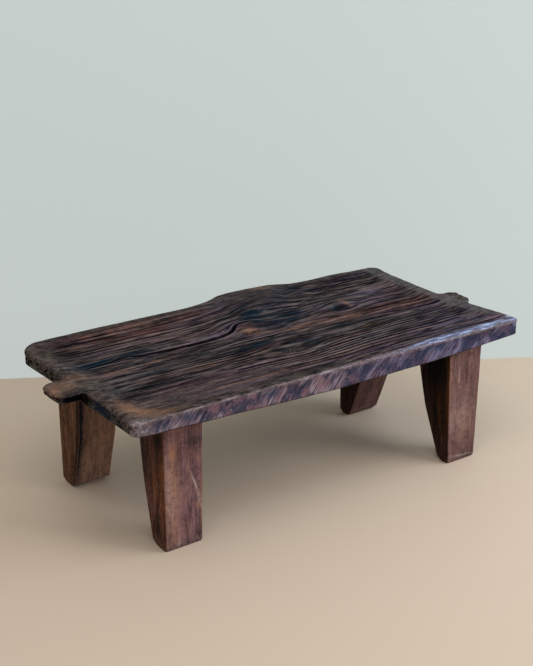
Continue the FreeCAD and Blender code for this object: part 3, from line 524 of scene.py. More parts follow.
def under_height(x, y):
    """The height of the hewn underside, with the lugs' thinner undersides at both ends."""
    belly = table_curve(x, BELLY) + 2.2 * rough_cloud(x / 75, y / 45, 41)
    left_lug = soft_step(LEFT + 1, LEFT - 4, x) * soft_step(-100, -86, y) * soft_step(30, 16, y)
    right_lug = soft_step(RIGHT - 14, RIGHT - 8, x) * soft_step(-134, -124, y) * soft_step(-20, -32, y)
    off_slab = left_lug + right_lug
    nose = 9 * soft_step(-636, -652, x) + 9 * soft_step(636, 652, x)
    lug = LUG_UNDER + nose + 2 * cloud(x / 14, y / 14, 42)
    return belly + (lug - belly) * np.clip(off_slab, 0, 1)


# The plank's mesh

def fibre_grid(outline, cell, keep_off):
    """A grid of points over the outline whose rows follow the grain, and its cells that lie further in than
    keep_off."""
    low, high = outline.min(0), outline.max(0)
    nx, ny = np.round((high - low) / cell).astype(int)
    columns = np.linspace(low[0], high[0], nx)
    rows = np.linspace(FRONT, BACK, ny)
    dense = np.arange(low[1] - 20, high[1] + 20)
    gx = np.repeat(columns[:, None], ny, 1)
    gy = np.array([np.interp(rows, grain_line(np.full_like(dense, x), dense), dense) for x in columns])
    inside = points_inside(outline, np.roll(outline, -1, 0), gx.ravel(), gy.ravel())
    inset = np.where(inside, inset_from(outline, gx.ravel(), gy.ravel()), -1.0).reshape(nx, ny)
    good = inset > keep_off
    return gx, gy, good[:-1, :-1] & good[1:, :-1] & good[1:, 1:] & good[:-1, 1:]


def points_inside(starts, ends, x, y):
    """True for each point inside the closed line that runs from the starts to the ends."""
    result = np.zeros(len(x), bool)
    rise = np.where(ends[:, 1] == starts[:, 1], TINY, ends[:, 1] - starts[:, 1])
    for first in range(0, len(x), BATCH):
        part = slice(first, first + BATCH)
        py = y[part, None]
        straddles = (starts[:, 1] > py) != (ends[:, 1] > py)
        crossing = starts[:, 0] + (py - starts[:, 1]) / rise * (ends[:, 0] - starts[:, 0])
        result[part] = ((x[part, None] < crossing) & straddles).sum(1) % 2 == 1
    return result


def cap(ring, outline, cell, keep_off):
    """Fills a ring of points with a grid of squares and a band of triangles between the two. Returns the new
    points, and faces whose numbers count the ring's points first and then the new ones."""
    gx, gy, cells = fibre_grid(outline, cell, keep_off)
    ny = gx.shape[1]
    ci, cj = np.nonzero(cells)
    corner = ci * ny + cj
    quads = np.stack([corner, corner + ny, corner + ny + 1, corner + 1], 1)
    used = np.unique(quads)
    number = np.full(gx.size, -1)
    number[used] = np.arange(len(used))
    quads = number[quads]
    points = np.stack([gx.ravel()[used], gy.ravel()[used]], 1)

    edges = np.concatenate([quads[:, [k, (k + 1) % 4]] for k in range(4)])
    keys = edges.min(1).astype(np.int64) * len(used) + edges.max(1)
    _, index, times = np.unique(keys, return_index=True, return_counts=True)
    rim_edges = edges[index[times == 1]]
    rim = np.unique(rim_edges)
    local = np.full(len(used), -1)
    local[rim] = np.arange(len(rim))
    flat = np.concatenate([ring, points[rim]])
    count = len(ring)
    ties = [(k, (k + 1) % count) for k in range(count)]
    ties += [(count + local[a], count + local[b]) for a, b in rim_edges]
    _, _, band, origin, _, _ = geometry.delaunay_2d_cdt([Vector(p) for p in flat], ties, [], 0, TINY, True)
    band = np.array([[origin[k][0] for k in triangle] for triangle in band])
    middle = flat[band].mean(1)
    keep = points_inside(ring, np.roll(ring, -1, 0), *middle.T)
    keep &= ~points_inside(points[rim_edges[:, 0]], points[rim_edges[:, 1]], *middle.T)
    number = np.concatenate([np.arange(count), count + rim])
    return points, number[band[keep]].tolist() + (quads + count).tolist()


def plank_mesh():
    """The whole plank as one closed mesh, with its grain map and the masks that its material reads."""
    outline = bent_outline(OUTLINE_STEP)
    normals = outward_normals(outline)
    count = len(outline)
    ox, oy = outline.T
    edge_top = top_height(ox, oy, np.zeros(count))[0]
    edge_under = under_height(ox - 3 * normals[:, 0], oy - 3 * normals[:, 1]) + LOWER_RISE

    rings, heights, kinds = [], [], []
    for inset in reversed(TOP_RING_INSETS):
        ring = outline - normals * inset
        rings.append(ring)
        heights.append(top_height(ring[:, 0], ring[:, 1], np.full(count, inset))[0])
        kinds.append(np.full(count, ON_TOP))
    around = np.arange(count) * OUTLINE_STEP
    front = soft_step(0.6, 0.95, -normals[:, 1])
    end = soft_step(0.5, 0.9, np.abs(normals[:, 0]))
    for row in range(SIDE_ROWS + 1):
        share = row / SIDE_ROWS
        z = edge_top + (edge_under - edge_top) * share
        scallop = cloud(around / 38 + z / 60, z / 70, 51) ** 2
        pits = rough_cloud(around / 13, z / 9, 52)
        bow = np.sin(math.pi * share)
        depth = SIDE_SET_BACK + bow * (2.6 * scallop * (0.4 + front) + 5.5 * soft_step(0.35, 0.8, pits) * end)
        depth += 3.0 * share * soft_step(LEFT + 40, LEFT, ox) * end * cloud(around / 30, 2 * share, 53)
        rings.append(outline - normals * depth[:, None] * soft_step(-0.02, 0.12, share))
        heights.append(z)
        kinds.append(np.full(count, ON_SIDE))
    for inset in UNDER_RING_INSETS:
        ring = outline - normals * (inset + SIDE_SET_BACK)
        rings.append(ring)
        rise = LOWER_RISE * (1 - np.sqrt(1 - (1 - min(inset / LOWER_REACH, 1.0)) ** 2))
        heights.append(under_height(ring[:, 0], ring[:, 1]) + rise)
        kinds.append(np.full(count, UNDERNEATH))

    xy = np.concatenate(rings)
    z = np.concatenate(heights)
    kind = np.concatenate(kinds)
    faces = []
    for row in range(len(rings) - 1):
        a = row * count + np.arange(count)
        b = row * count + (np.arange(count) + 1) % count
        faces += np.stack([a, a + count, b + count, b], 1).tolist()

    last = (len(rings) - 1) * count
    top_points, top_faces = cap(rings[0], outline, TOP_CELL, TOP_RING_INSETS[-1] + TOP_GAP)
    keep_off = UNDER_RING_INSETS[-1] + UNDER_GAP
    under_points, under_faces = cap(rings[-1], outline, UNDER_CELL, keep_off)
    total = len(xy)
    top_faces = [[k if k < count else k - count + total for k in face] for face in top_faces]
    under_start = total + len(top_points)
    under_faces = [[k + last if k < count else k - count + under_start for k in face] for face in under_faces]
    under_faces = [face[::-1] for face in under_faces]
    inset = inset_from(outline, *top_points.T)
    top_z = top_height(*top_points.T, inset)[0]
    xy = np.concatenate([xy, top_points, under_points])
    z = np.concatenate([z, top_z, under_height(*under_points.T)])
    top_kind, under_kind = np.full(len(top_points), ON_TOP), np.full(len(under_points), UNDERNEATH)
    kind = np.concatenate([kind, top_kind, under_kind])

    mesh = bpy.data.meshes.new("plank_top")
    mesh.from_pydata(np.column_stack([xy, z]) * MM, [], faces + top_faces + under_faces)
    mesh.update()
    dress_plank(mesh, outline, kind)
    return mesh


def add_mask(mesh, name, values):
    """Keeps one number for each point of the mesh under a name that the materials read."""
    mesh.attributes.new(name, "FLOAT", "POINT").data.foreach_set("value", np.asarray(values, np.float32))


def point_table(mesh):
    """The mesh's points in millimetres, and its normals."""
    points = np.empty(len(mesh.vertices) * 3, np.float32)
    mesh.vertices.foreach_get("co", points)
    normals = np.empty(len(mesh.vertices) * 3, np.float32)
    mesh.vertices.foreach_get("normal", normals)
    return points.reshape(-1, 3).astype(float) / MM, normals.reshape(-1, 3).astype(float)


def add_grain_map(mesh, along, across):
    """A UV map in metres: along the fibre, and across it by grain line."""
    layer = mesh.uv_layers.new(name="grain")
    corner_points = np.empty(len(mesh.loops), np.int32)
    mesh.loops.foreach_get("vertex_index", corner_points)
    uv = np.stack([along, across], 1)[corner_points] * MM
    layer.data.foreach_set("uv", uv.astype(np.float32).ravel())


def dress_plank(mesh, outline, kind):
    """Adds the plank's grain map and masks."""
    points, normals = point_table(mesh)
    x, y, z = points.T
    inset = inset_from(outline, x, y)
    height, furrow, line, room = top_relief(x, y, inset)
    is_top, is_side = kind == ON_TOP, kind == ON_SIDE
    below = np.where(is_top, 0, RIM - z)
    across = np.where(y > 0, line + below, line - below)
    add_grain_map(mesh, x + 0.3 * below, across)
    reach = arris_size(x, y)[0]
    arris = np.exp(-(inset / (0.7 * reach)) ** 2) * soft_step(RIM - 20, RIM - 6, z)
    handled_front = soft_step(-270, -300, y) * (0.55 + 0.45 * soft_step(-350, 350, x))
    handled = handled_front + 0.22 * soft_step(-230, 0, y)
    # how far each place stands above its neighbours across the grain, which the material paints as shade in
    # the valleys and a highlight on the crests
    near = [top_relief(x, y + away, inset)[0] for away in (-9, -4.5, 4.5, 9)]
    far_before, before, behind, far_behind = near
    ridge = height - (far_before + far_behind) / 2 + 1.5 * (height - (before + behind) / 2)
    # a painted highlight along the crack's front lip
    crack_lip_highlight = 0.9 * np.exp(-crack_distance(x, y + 11) ** 2) * soft_step(-430, -330, x)
    ribs, wave = rib_marks(x, y)
    # the band on the front lip that gets a painted highlight, a glint of the light, broad on the right and
    # narrow on the left
    width = reach * (0.42 + 0.58 * soft_step(120, 400, x))
    glint_band = soft_step(0.0, 0.16, inset / width) * soft_step(1.05, 0.72, inset / width)
    glint_band = glint_band * soft_step(-270, -296, y)
    patchy = soft_step(0.30, 0.62, rough_cloud(x / 46, y / 30, 71))
    strength = 0.55 * patchy * (1 - soft_step(40, 200, x)) + (0.55 + 0.45 * patchy) * soft_step(40, 300, x)
    # painted shadow on the front side of the left lug, where it meets the plank
    lug_side_shadow = soft_step(LEFT + 4, LEFT - 4, x) * soft_step(0.3, 0.7, -normals[:, 1])
    lug_side_shadow = lug_side_shadow * soft_step(-646, -628, x) * soft_step(RIM - 3, RIM - 9, z)
    stains = {name: np.clip(patches(x, y, stain[3]), 0, 1.2) for name, stain in STAINS.items()}
    # the masks, in groups that keep to one part of the plank
    masks = [
        (is_top, dict(
            furrow=furrow, ridge=np.clip(ridge / 3.2 + crack_lip_highlight, -1, 1), open_grain=room,
            ribs=ribs * soft_step(-0.2, 1.0, wave), painted_sheen=glint_band * strength * soft_step(-560, -470, x),
            right_end=soft_step(500, 560, x) * soft_step(RIGHT, RIGHT - 24, x))),
        (is_side, dict(
            front_face=soft_step(0.5, 0.85, np.abs(normals[:, 1])),
            end_face=soft_step(0.45, 0.8, np.abs(normals[:, 0])),
            hollow=np.clip(lug_side_shadow + patches(x, y, [BESIDE_LUG]), 0, 1),
            inky=patches(x, y, [INKY_END]) * soft_step(348, 362, z),
            navy=np.clip(patches(x, z, NAVY_SPOTS), 0, 1) * (y < FRONT + 12))),
        (is_top | is_side, dict(
            stains, arris=arris * handled, corner_wear=np.clip(patches(x, y, [PALE_CORNER]), 0, 1))),
        (True, dict(left_half=soft_step(260, -160, x), underside=kind == UNDERNEATH)),
    ]
    for where, group in masks:
        for name, values in group.items():
            add_mask(mesh, name, np.where(where, values, 0))


# Node helpers

class Reading:
    """What a node puts out. Sums and products of readings add the Math nodes that work them out."""

    def __init__(self, tree, socket):
        self.tree, self.socket = tree, socket

    def __add__(self, other):
        return maths(self.tree, "ADD", self, other)

    def __sub__(self, other):
        return maths(self.tree, "SUBTRACT", self, other)

    def __rsub__(self, other):
        return maths(self.tree, "SUBTRACT", other, self)

    def __mul__(self, other):
        return maths(self.tree, "MULTIPLY", self, other)

    def __truediv__(self, other):
        return maths(self.tree, "DIVIDE", self, other)

    def __rtruediv__(self, other):
        return maths(self.tree, "DIVIDE", other, self)

    def __abs__(self):
        return maths(self.tree, "ABSOLUTE", self)


def feed(tree, socket, value):
    """Feeds a socket a reading, a number, a place, or a colour of red, green and blue."""
    if isinstance(value, Reading):
        tree.links.new(value.socket, socket)
    elif socket.type == "RGBA":
        socket.default_value = (*value, 1.0)
    else:
        socket.default_value = value


def new_node(tree, kind, inputs, settings):
    """Adds a node with its settings, and feeds its inputs."""
    made = tree.nodes.new(kind)
    for name, value in settings.items():
        setattr(made, name, value)
    for key, value in (inputs or {}).items():
        feed(tree, made.inputs[key], value)
    return made


def add(tree, kind, inputs=None, output=0, **settings):
    """Adds a node and reads one of its outputs."""
    return Reading(tree, new_node(tree, kind, inputs, settings).outputs[output])


def maths(tree, operation, *values):
    """A Math node's result."""
    return add(tree, "ShaderNodeMath", dict(enumerate(values)), operation=operation)


def clamped(result):
    """A Math node's result that now stops at 0 and at 1."""
    result.socket.node.use_clamp = True
    return result


def ramp(value, low, high, to_low=0.0, to_high=1.0):
    """Spreads value's stretch from low to high over to_low to to_high, smoothly and clamped."""
    limits = {"Value": value, "From Min": low, "From Max": high, "To Min": to_low, "To Max": to_high}
    return add(value.tree, "ShaderNodeMapRange", limits, interpolation_type="SMOOTHSTEP")


def blend(share, below, above, how="MIX"):
    """One colour laid over another. At least one of the three is a reading."""
    tree = next(value.tree for value in (share, below, above) if isinstance(value, Reading))
    given = {0: share, 6: below, 7: above}
    return add(tree, "ShaderNodeMix", given, output=2, data_type="RGBA", blend_type=how)


def mask(tree, name):
    """A number that the mesh keeps for each point."""
    return add(tree, "ShaderNodeAttribute", output="Fac", attribute_name=name)


def noise(place, scale, detail, roughness, distortion=0.0):
    """Smooth random values, with finer ones laid over them."""
    return add(place.tree, "ShaderNodeTexNoise", {"Vector": place, "Scale": scale, "Detail": detail,
                                                  "Roughness": roughness, "Distortion": distortion})


def stretched(place, *factors):
    """A place with each part multiplied, so that a pattern on it is drawn out or squeezed."""
    return add(place.tree, "ShaderNodeVectorMath", {0: place, 1: factors}, operation="MULTIPLY")


def along_way(place, way):
    """How far a place lies along a way, counted from the object's origin."""
    given = {0: place, 1: way}
    return add(place.tree, "ShaderNodeVectorMath", given, output="Value", operation="DOT_PRODUCT")


def in_cells(place, length, width, seed=0.0):
    """A place counted in cells of one length and width, on a layer of its own for each seed."""
    parts = new_node(place.tree, "ShaderNodeSeparateXYZ", {0: place}, {}).outputs
    along, across = Reading(place.tree, parts[0]), Reading(place.tree, parts[1])
    return add(place.tree, "ShaderNodeCombineXYZ", {0: along / length, 1: across / width, 2: seed})


def new_group(name, inputs, work_out):
    """A node group with named inputs and with the named outputs that work_out makes of them. An input whose
    value is None is a place."""
    tree = bpy.data.node_groups.new(name, "ShaderNodeTree")
    for label, value in inputs.items():
        kind = "NodeSocketVector" if value is None else "NodeSocketFloat"
        socket = tree.interface.new_socket(label, in_out="INPUT", socket_type=kind)
        if value is not None:
            socket.default_value = value
    start = tree.nodes.new("NodeGroupInput")
    results = work_out(*[Reading(tree, start.outputs[label]) for label in inputs])
    for label in results:
        tree.interface.new_socket(label, in_out="OUTPUT", socket_type="NodeSocketFloat")
    end = tree.nodes.new("NodeGroupOutput")
    for label, result in results.items():
        feed(tree, end.inputs[label], result)
    return tree


def use(tree, group, inputs):
    """Places a node group, feeds its inputs, and reads its outputs by name."""
    made = new_node(tree, "ShaderNodeGroup", inputs, {"node_tree": group})
    return {socket.name: Reading(tree, socket) for socket in made.outputs}


def starting_points(tree):
    """The grain map that a mesh keeps, and the place on its object."""
    grain = add(tree, "ShaderNodeUVMap", uv_map="grain")
    return grain, add(tree, "ShaderNodeTexCoord", output="Object")


def new_material(name):
    """A node material with its surface shader and output, and nothing else."""
    material = bpy.data.materials.new(name)
    material.use_nodes = True
    tree = material.node_tree
    tree.nodes.clear()
    shader = tree.nodes.new("ShaderNodeBsdfPrincipled")
    output = tree.nodes.new("ShaderNodeOutputMaterial")
    tree.links.new(shader.outputs[0], output.inputs[0])
    return material, tree, shader


def finish_wood(tree, shader, tone, rough, height, depth, strength=0.9):
    """Feeds a wood's colour, roughness and fine relief, as deep as depth in metres, to its surface shader."""
    bump = add(tree, "ShaderNodeBump", {"Strength": strength, "Distance": depth, "Height": height})
    for name, reading in (("Base Color", tone), ("Roughness", rough), ("Normal", bump)):
        feed(tree, shader.inputs[name], reading)


# Effects that several woods share

def wood_fibre(grain, length, width, seed):
    """Streaks, fine fibres and broad bands along a grain map, whose first number runs along the fibre."""
    place = in_cells(grain, length, width, seed)
    streak = noise(place, 1.0, 3.0, 0.6, 0.3)
    fibre = noise(stretched(place, 2.2, 4.6, 1.0), 1.0, 3.0, 0.65)
    band = noise(stretched(place, 0.35, 0.22, 1.0), 1.0, 3.0, 0.55)
    return {"Streak": ramp(streak, 0.34, 0.66), "Fibre": ramp(fibre, 0.32, 0.68),
            "Band": ramp(band, 0.36, 0.64)}


def open_lines(grain, length, spacing, seed):
    """Thin broken lines along a grain map, like the lips of open pores and small checks."""
    place = in_cells(grain, length, spacing, seed)
    off_middle = abs(noise(place, 1.0, 2.5, 0.55) - 0.5)
    unbroken = noise(stretched(place, 2.2, 0.8, 7.0), 1.0, 2.0, 0.5)
    return {"Line": ramp(off_middle, 0.075, 0.0) * ramp(unbroken, 0.36, 0.56)}


def adze_marks(place, hatch_width, scallop_size):
    """Slanting adze hatch and the shallow scallops between its strokes."""
    hatch = noise(stretched(in_cells(place, hatch_width, hatch_width), 1.0, 0.06, 1.0), 1.0, 2.0, 0.6, 0.2)
    cells = {"Vector": stretched(place, 1.0, 0.55, 1.0), "Scale": 1.0 / scallop_size, "Smoothness": 0.6}
    scallop = add(place.tree, "ShaderNodeTexVoronoi", cells, feature="SMOOTH_F1")
    return {"Hatch": ramp(hatch, 0.3, 0.7), "Scallop": ramp(scallop, 0.0, 0.7)}


def rubbed_edge(edge, place, patch_size):
    """Where handling has rubbed an edge: a mask that breaks up along its border."""
    patchy = noise(place, 1.0 / patch_size, 5.0, 0.65)
    return {"Rubbed": ramp(edge + (patchy * 1.1 - 0.55), 0.38, 0.72)}


FIBRE = new_group("Wood fibre", {"Grain": None, "Streak Length": 0.16, "Streak Width": 0.007, "Seed": 0.0},
                  wood_fibre)
LINES = new_group("Open grain lines", {"Grain": None, "Line Length": 0.3, "Line Spacing": 0.02, "Seed": 0.0},
                  open_lines)
ADZE = new_group("Adze marks", {"Place": None, "Hatch Width": 0.0045, "Scallop Size": 0.03}, adze_marks)
RUBBED = new_group("Rubbed edge", {"Edge": 0.0, "Place": None, "Patch Size": 0.02}, rubbed_edge)


def fibres_on(grain, length, width, seed):
    """Places the wood fibre on a grain map."""
    given = {"Grain": grain, "Streak Length": length, "Streak Width": width, "Seed": seed}
    return use(grain.tree, FIBRE, given)


def lines_on(grain, length, spacing, seed):
    """Places the open grain lines on a grain map."""
    given = {"Grain": grain, "Line Length": length, "Line Spacing": spacing, "Seed": seed}
    return use(grain.tree, LINES, given)["Line"]


def rubbed_on(place, patch_size):
    """Places the rubbed edge on a mesh's arrises."""
    given = {"Edge": mask(place.tree, "arris"), "Place": place, "Patch Size": patch_size}
    return use(place.tree, RUBBED, given)["Rubbed"]


# What the plank is painted with, as linear red, green and blue. The dull sheen and the glints are painted
# highlights, reflections of the lamps on the front lip.
TINTS = {
    # the deep wood and dry ridge tints carry painted shade in the valleys and a painted highlight on the
    # crests, besides the wood's own streaks
    "deep wood": (0.009, 0.01, 0.013), "mid wood": (0.103, 0.075, 0.076), "dry and highlit ridge": (0.225, 0.175, 0.168),
    "cool cast": (0.84, 0.99, 1.06), "warm cast": (1.17, 0.94, 0.88), "no cast": (1.0, 1.0, 1.0),
    "violet cast": (0.98, 0.9, 1.22), "bright fleck": (0.4, 0.22, 0.12), "pale line": (0.23, 0.165, 0.15),
    "grimy end": (0.01, 0.01, 0.01), "scuffed end": (0.086, 0.064, 0.054),
    "bare spot": (0.175, 0.132, 0.105), "bare orange": (0.22, 0.118, 0.076),
    "grey end": (0.05, 0.046, 0.046), "pale grey end": (0.12, 0.106, 0.1), "ribs": (0.17, 0.16, 0.15),
    "right strokes": (0.165, 0.153, 0.25), "left strokes": (0.29, 0.205, 0.23),
    "between strokes": (0.046, 0.037, 0.058), "scallop": (0.014, 0.018, 0.044), "flush": (0.2, 0.103, 0.118),
    "navy": (0.034, 0.046, 0.086), "bright pit": (0.36, 0.32, 0.38), "right chips": (0.034, 0.029, 0.027),
    "left chips": (0.005, 0.005, 0.006), "rough end": (0.08, 0.066, 0.052),
    "pale chip": (0.165, 0.135, 0.105), "inky": (0.008, 0.014, 0.03), "dark underside": (0.02, 0.016, 0.012),
    # the furrow tint is partly the dark open grain and partly painted shade; the hollow tint is painted shadow
    "underside": (0.06, 0.046, 0.034), "furrow": (0.0032, 0.003, 0.0034), "hollow": (0.002, 0.0018, 0.002),
    "rubbed": (0.085, 0.045, 0.045), "rubbed pale": (0.25, 0.185, 0.19), "corner": (0.1, 0.076, 0.078),
    "corner pale": (0.29, 0.23, 0.235), "painted dull sheen": (0.085, 0.1, 0.165), "painted right glint": (0.3, 0.36, 0.56),
    "painted left glint": (0.4, 0.31, 0.33),
}
PLANK_BUMP = 0.0022
HATCH_LEAN = 50.0  # degrees that the adze strokes lean from level


def plank_material():
    """Weathered, waxed dark hardwood: open furrows, stained patches, adzed sides and rubbed arrises, with
    painted shade in its furrows, valleys and crack and painted highlights on its ridges and front lip.
    """
    material, tree, shader = new_material("weathered plank")
    grain, place = starting_points(tree)
    wide = fibres_on(grain, 0.3, 0.014, 3.0)
    fine = fibres_on(grain, 0.16, 0.0058, 9.0)
    hues = fibres_on(grain, 0.24, 0.017, 17.0)
    black = lines_on(grain, 0.36, 0.024, 5.0)
    pale = lines_on(grain, 0.28, 0.022, 8.0)
    streak, band = wide["Streak"], wide["Band"]
    thread, fibre = fine["Streak"], fine["Fibre"]
    open_grain, furrow, ridge = [mask(tree, name) for name in ("open_grain", "furrow", "ridge")]
    blotch = noise(place, 26.0, 6.0, 0.62)
    grit = noise(stretched(place, 0.55, 1.0, 1.0), 210.0, 3.0, 0.7)
    pits = noise(place, 135.0, 4.0, 0.68, 0.3)
    mottle = noise(stretched(place, 0.45, 1.0, 1.0), 75.0, 5.0, 0.7)

    # the weathered top, from its dark valleys to its dry ridges, in cooler and warmer streaks; the ridge mask
    # in it lays painted shade in the valleys and a painted highlight on the crests
    lightness = streak * 0.4 + thread * 0.42 + ridge * 0.5 + band * 0.16
    lightness = lightness + ramp(grit, 0.3, 0.7, -0.16, 0.16) + ramp(mottle, 0.3, 0.7, -0.24, 0.24)
    tone = blend(ramp(lightness, 0.22, 0.95), TINTS["deep wood"], TINTS["mid wood"])
    lit = ramp(lightness, 0.74, 1.25) * ramp(fibre, 0.2, 0.9, 0.4, 1.0)
    tone = blend(lit, tone, TINTS["dry and highlit ridge"])
    cast = blend(hues["Streak"], TINTS["cool cast"], TINTS["warm cast"])
    tone = blend(1.0, tone, cast, "MULTIPLY")
    cast = blend(ramp(hues["Band"], 0.5, 1.0), TINTS["no cast"], TINTS["violet cast"])
    tone = blend(1.0, tone, cast, "MULTIPLY")

    # its stains, among them the violet painted sheen and the teal patches of dark stain and painted shade,
    # then its flecks and pale lines
    for name, (paint, strength, on_dark, _) in STAINS.items():
        amount = mask(tree, name) * ramp(lightness, 0.25, 0.9, on_dark, 1.2)
        amount = amount * ramp(blotch, 0.3, 0.7, 0.5, 1.25) * strength
        tone = blend(clamped(amount), tone, paint)
    flecks = mask(tree, "orange") * ramp(pits, 0.5, 0.62) * 0.55
    tone = blend(flecks, tone, TINTS["bright fleck"])
    tone = blend(pale * open_grain * 0.5, tone, TINTS["pale line"])

    # the smooth worn bands, and the ribs of the flat knot
    scuffed = noise(stretched(place, 0.5, 1.0, 1.0), 58.0, 6.0, 0.68, 0.5)
    bare = blend(ramp(scuffed, 0.38, 0.58), TINTS["grimy end"], TINTS["scuffed end"])
    bare = blend(ramp(scuffed * pits, 0.27, 0.4), bare, TINTS["bare spot"])
    bare = blend(clamped(mask(tree, "orange") * 0.8), bare, TINTS["bare orange"])
    smoother = blend(ramp(mottle, 0.35, 0.65), TINTS["grey end"], TINTS["pale grey end"])
    bare = blend(mask(tree, "right_end"), bare, smoother)
    tone = blend((1.0 - open_grain) * 0.7, tone, bare)
    tone = blend(mask(tree, "ribs"), tone, TINTS["ribs"])

    # the adzed front and back
    lean = math.radians(HATCH_LEAN)
    ways = (math.sin(lean), 0, -math.cos(lean)), (math.cos(lean), 0, math.sin(lean))
    turned = add(tree, "ShaderNodeCombineXYZ", {k: along_way(place, way) for k, way in enumerate(ways)})
    adze = use(tree, ADZE, {"Place": turned, "Hatch Width": 0.0036, "Scallop Size": 0.034})
    hatch, scallop = adze["Hatch"], adze["Scallop"]
    left_half = mask(tree, "left_half")
    stroke = blend(left_half, TINTS["right strokes"], TINTS["left strokes"])
    side = blend(ramp(hatch, 0.15, 0.85), TINTS["between strokes"], stroke)
    side = blend(ramp(scallop, 0.5, 0.85, 0.0, 0.75), side, TINTS["scallop"])
    flushed = ramp(blotch, 0.48, 0.62) * ramp(left_half, 0.0, 1.0, 0.25, 0.7)
    side = blend(flushed, side, TINTS["flush"])
    navy = mask(tree, "navy") * ramp(blotch, 0.34, 0.56, 0.3, 1.0)
    side = blend(navy, side, TINTS["navy"])
    side = blend(ramp(pits, 0.62, 0.7, 0.0, 0.45), side, TINTS["bright pit"])
    tone = blend(mask(tree, "front_face"), tone, side)

    # the chipped ends and the underside
    chips = noise(place, 62.0, 5.0, 0.62, 0.6)
    chipped = blend(left_half, TINTS["right chips"], TINTS["left chips"])
    rough_end = blend(ramp(chips, 0.42, 0.56), chipped, TINTS["rough end"])
    rough_end = blend(ramp(pits, 0.52, 0.66, 0.0, 0.8), rough_end, TINTS["pale chip"])
    tone = blend(mask(tree, "end_face"), tone, rough_end)
    tone = blend(mask(tree, "inky"), tone, TINTS["inky"])
    below = blend(streak, TINTS["dark underside"], TINTS["underside"])
    tone = blend(mask(tree, "underside"), tone, below)

    # what lies over all of them: furrows, partly their own dark grain and partly painted shade, painted shadow
    # by the left lug, rubbed arrises, the pale corner, and a painted highlight on the front lip
    lined = black * open_grain * 0.85
    sunk = clamped(maths(tree, "MAXIMUM", furrow * 0.96, lined))
    tone = blend(sunk, tone, TINTS["furrow"])
    # painted shadow in the hollow by the left lug
    tone = blend(mask(tree, "hollow"), tone, TINTS["hollow"])
    rubbed = blend(ramp(grit, 0.35, 0.62), TINTS["rubbed"], TINTS["rubbed pale"])
    tone = blend(rubbed_on(place, 0.012) * 0.6, tone, rubbed)
    corner = blend(ramp(pits, 0.34, 0.64), TINTS["corner"], TINTS["corner pale"])
    tone = blend(mask(tree, "corner_wear") * 0.8, tone, corner)
    # the painted highlight on the front lip: a dull bluish painted sheen on the right, with glint strokes over
    # it, painted reflections of the lamps
    strokes = noise(stretched(place, 0.14, 1.0, 0.6), 170.0, 4.0, 0.6)
    painted_sheen = mask(tree, "painted_sheen")
    painted_dull_sheen = painted_sheen * (1.0 - left_half) * 0.65
    tone = blend(painted_dull_sheen, tone, TINTS["painted dull sheen"])
    glint = painted_sheen * ramp(strokes, 0.45, 0.64, 0.0, 0.9)
    tone = blend(glint, tone, blend(left_half, TINTS["painted right glint"], TINTS["painted left glint"]))

    # how rough and how waxed it is, and its fine relief
    rough = ramp(lightness, 0.2, 1.0, 0.62, 0.5) + furrow * 0.3
    rough = clamped(rough + ramp(blotch, 0.3, 0.7, -0.06, 0.08))
    waxed = clamped(1.0 - sunk) * ramp(lightness, 0.3, 1.1, 0.03, 0.16) + glint * 0.5
    coat = waxed * clamped(1.0 - mask(tree, "hollow"))
    for name, value in (("Coat Weight", coat), ("Coat Roughness", 0.28), ("Specular IOR Level", 0.0)):
        feed(tree, shader.inputs[name], value)
    tooled = hatch * 0.45 + scallop * -0.9
    pitted = (pits + grit) * (1.15 - open_grain)
    height = (thread * 0.5 + fibre * 0.35 - black * 0.8) * open_grain
    finish_wood(tree, shader, tone, rough, height + tooled * mask(tree, "front_face") + pitted, PLANK_BUMP)
    return material


# Legs

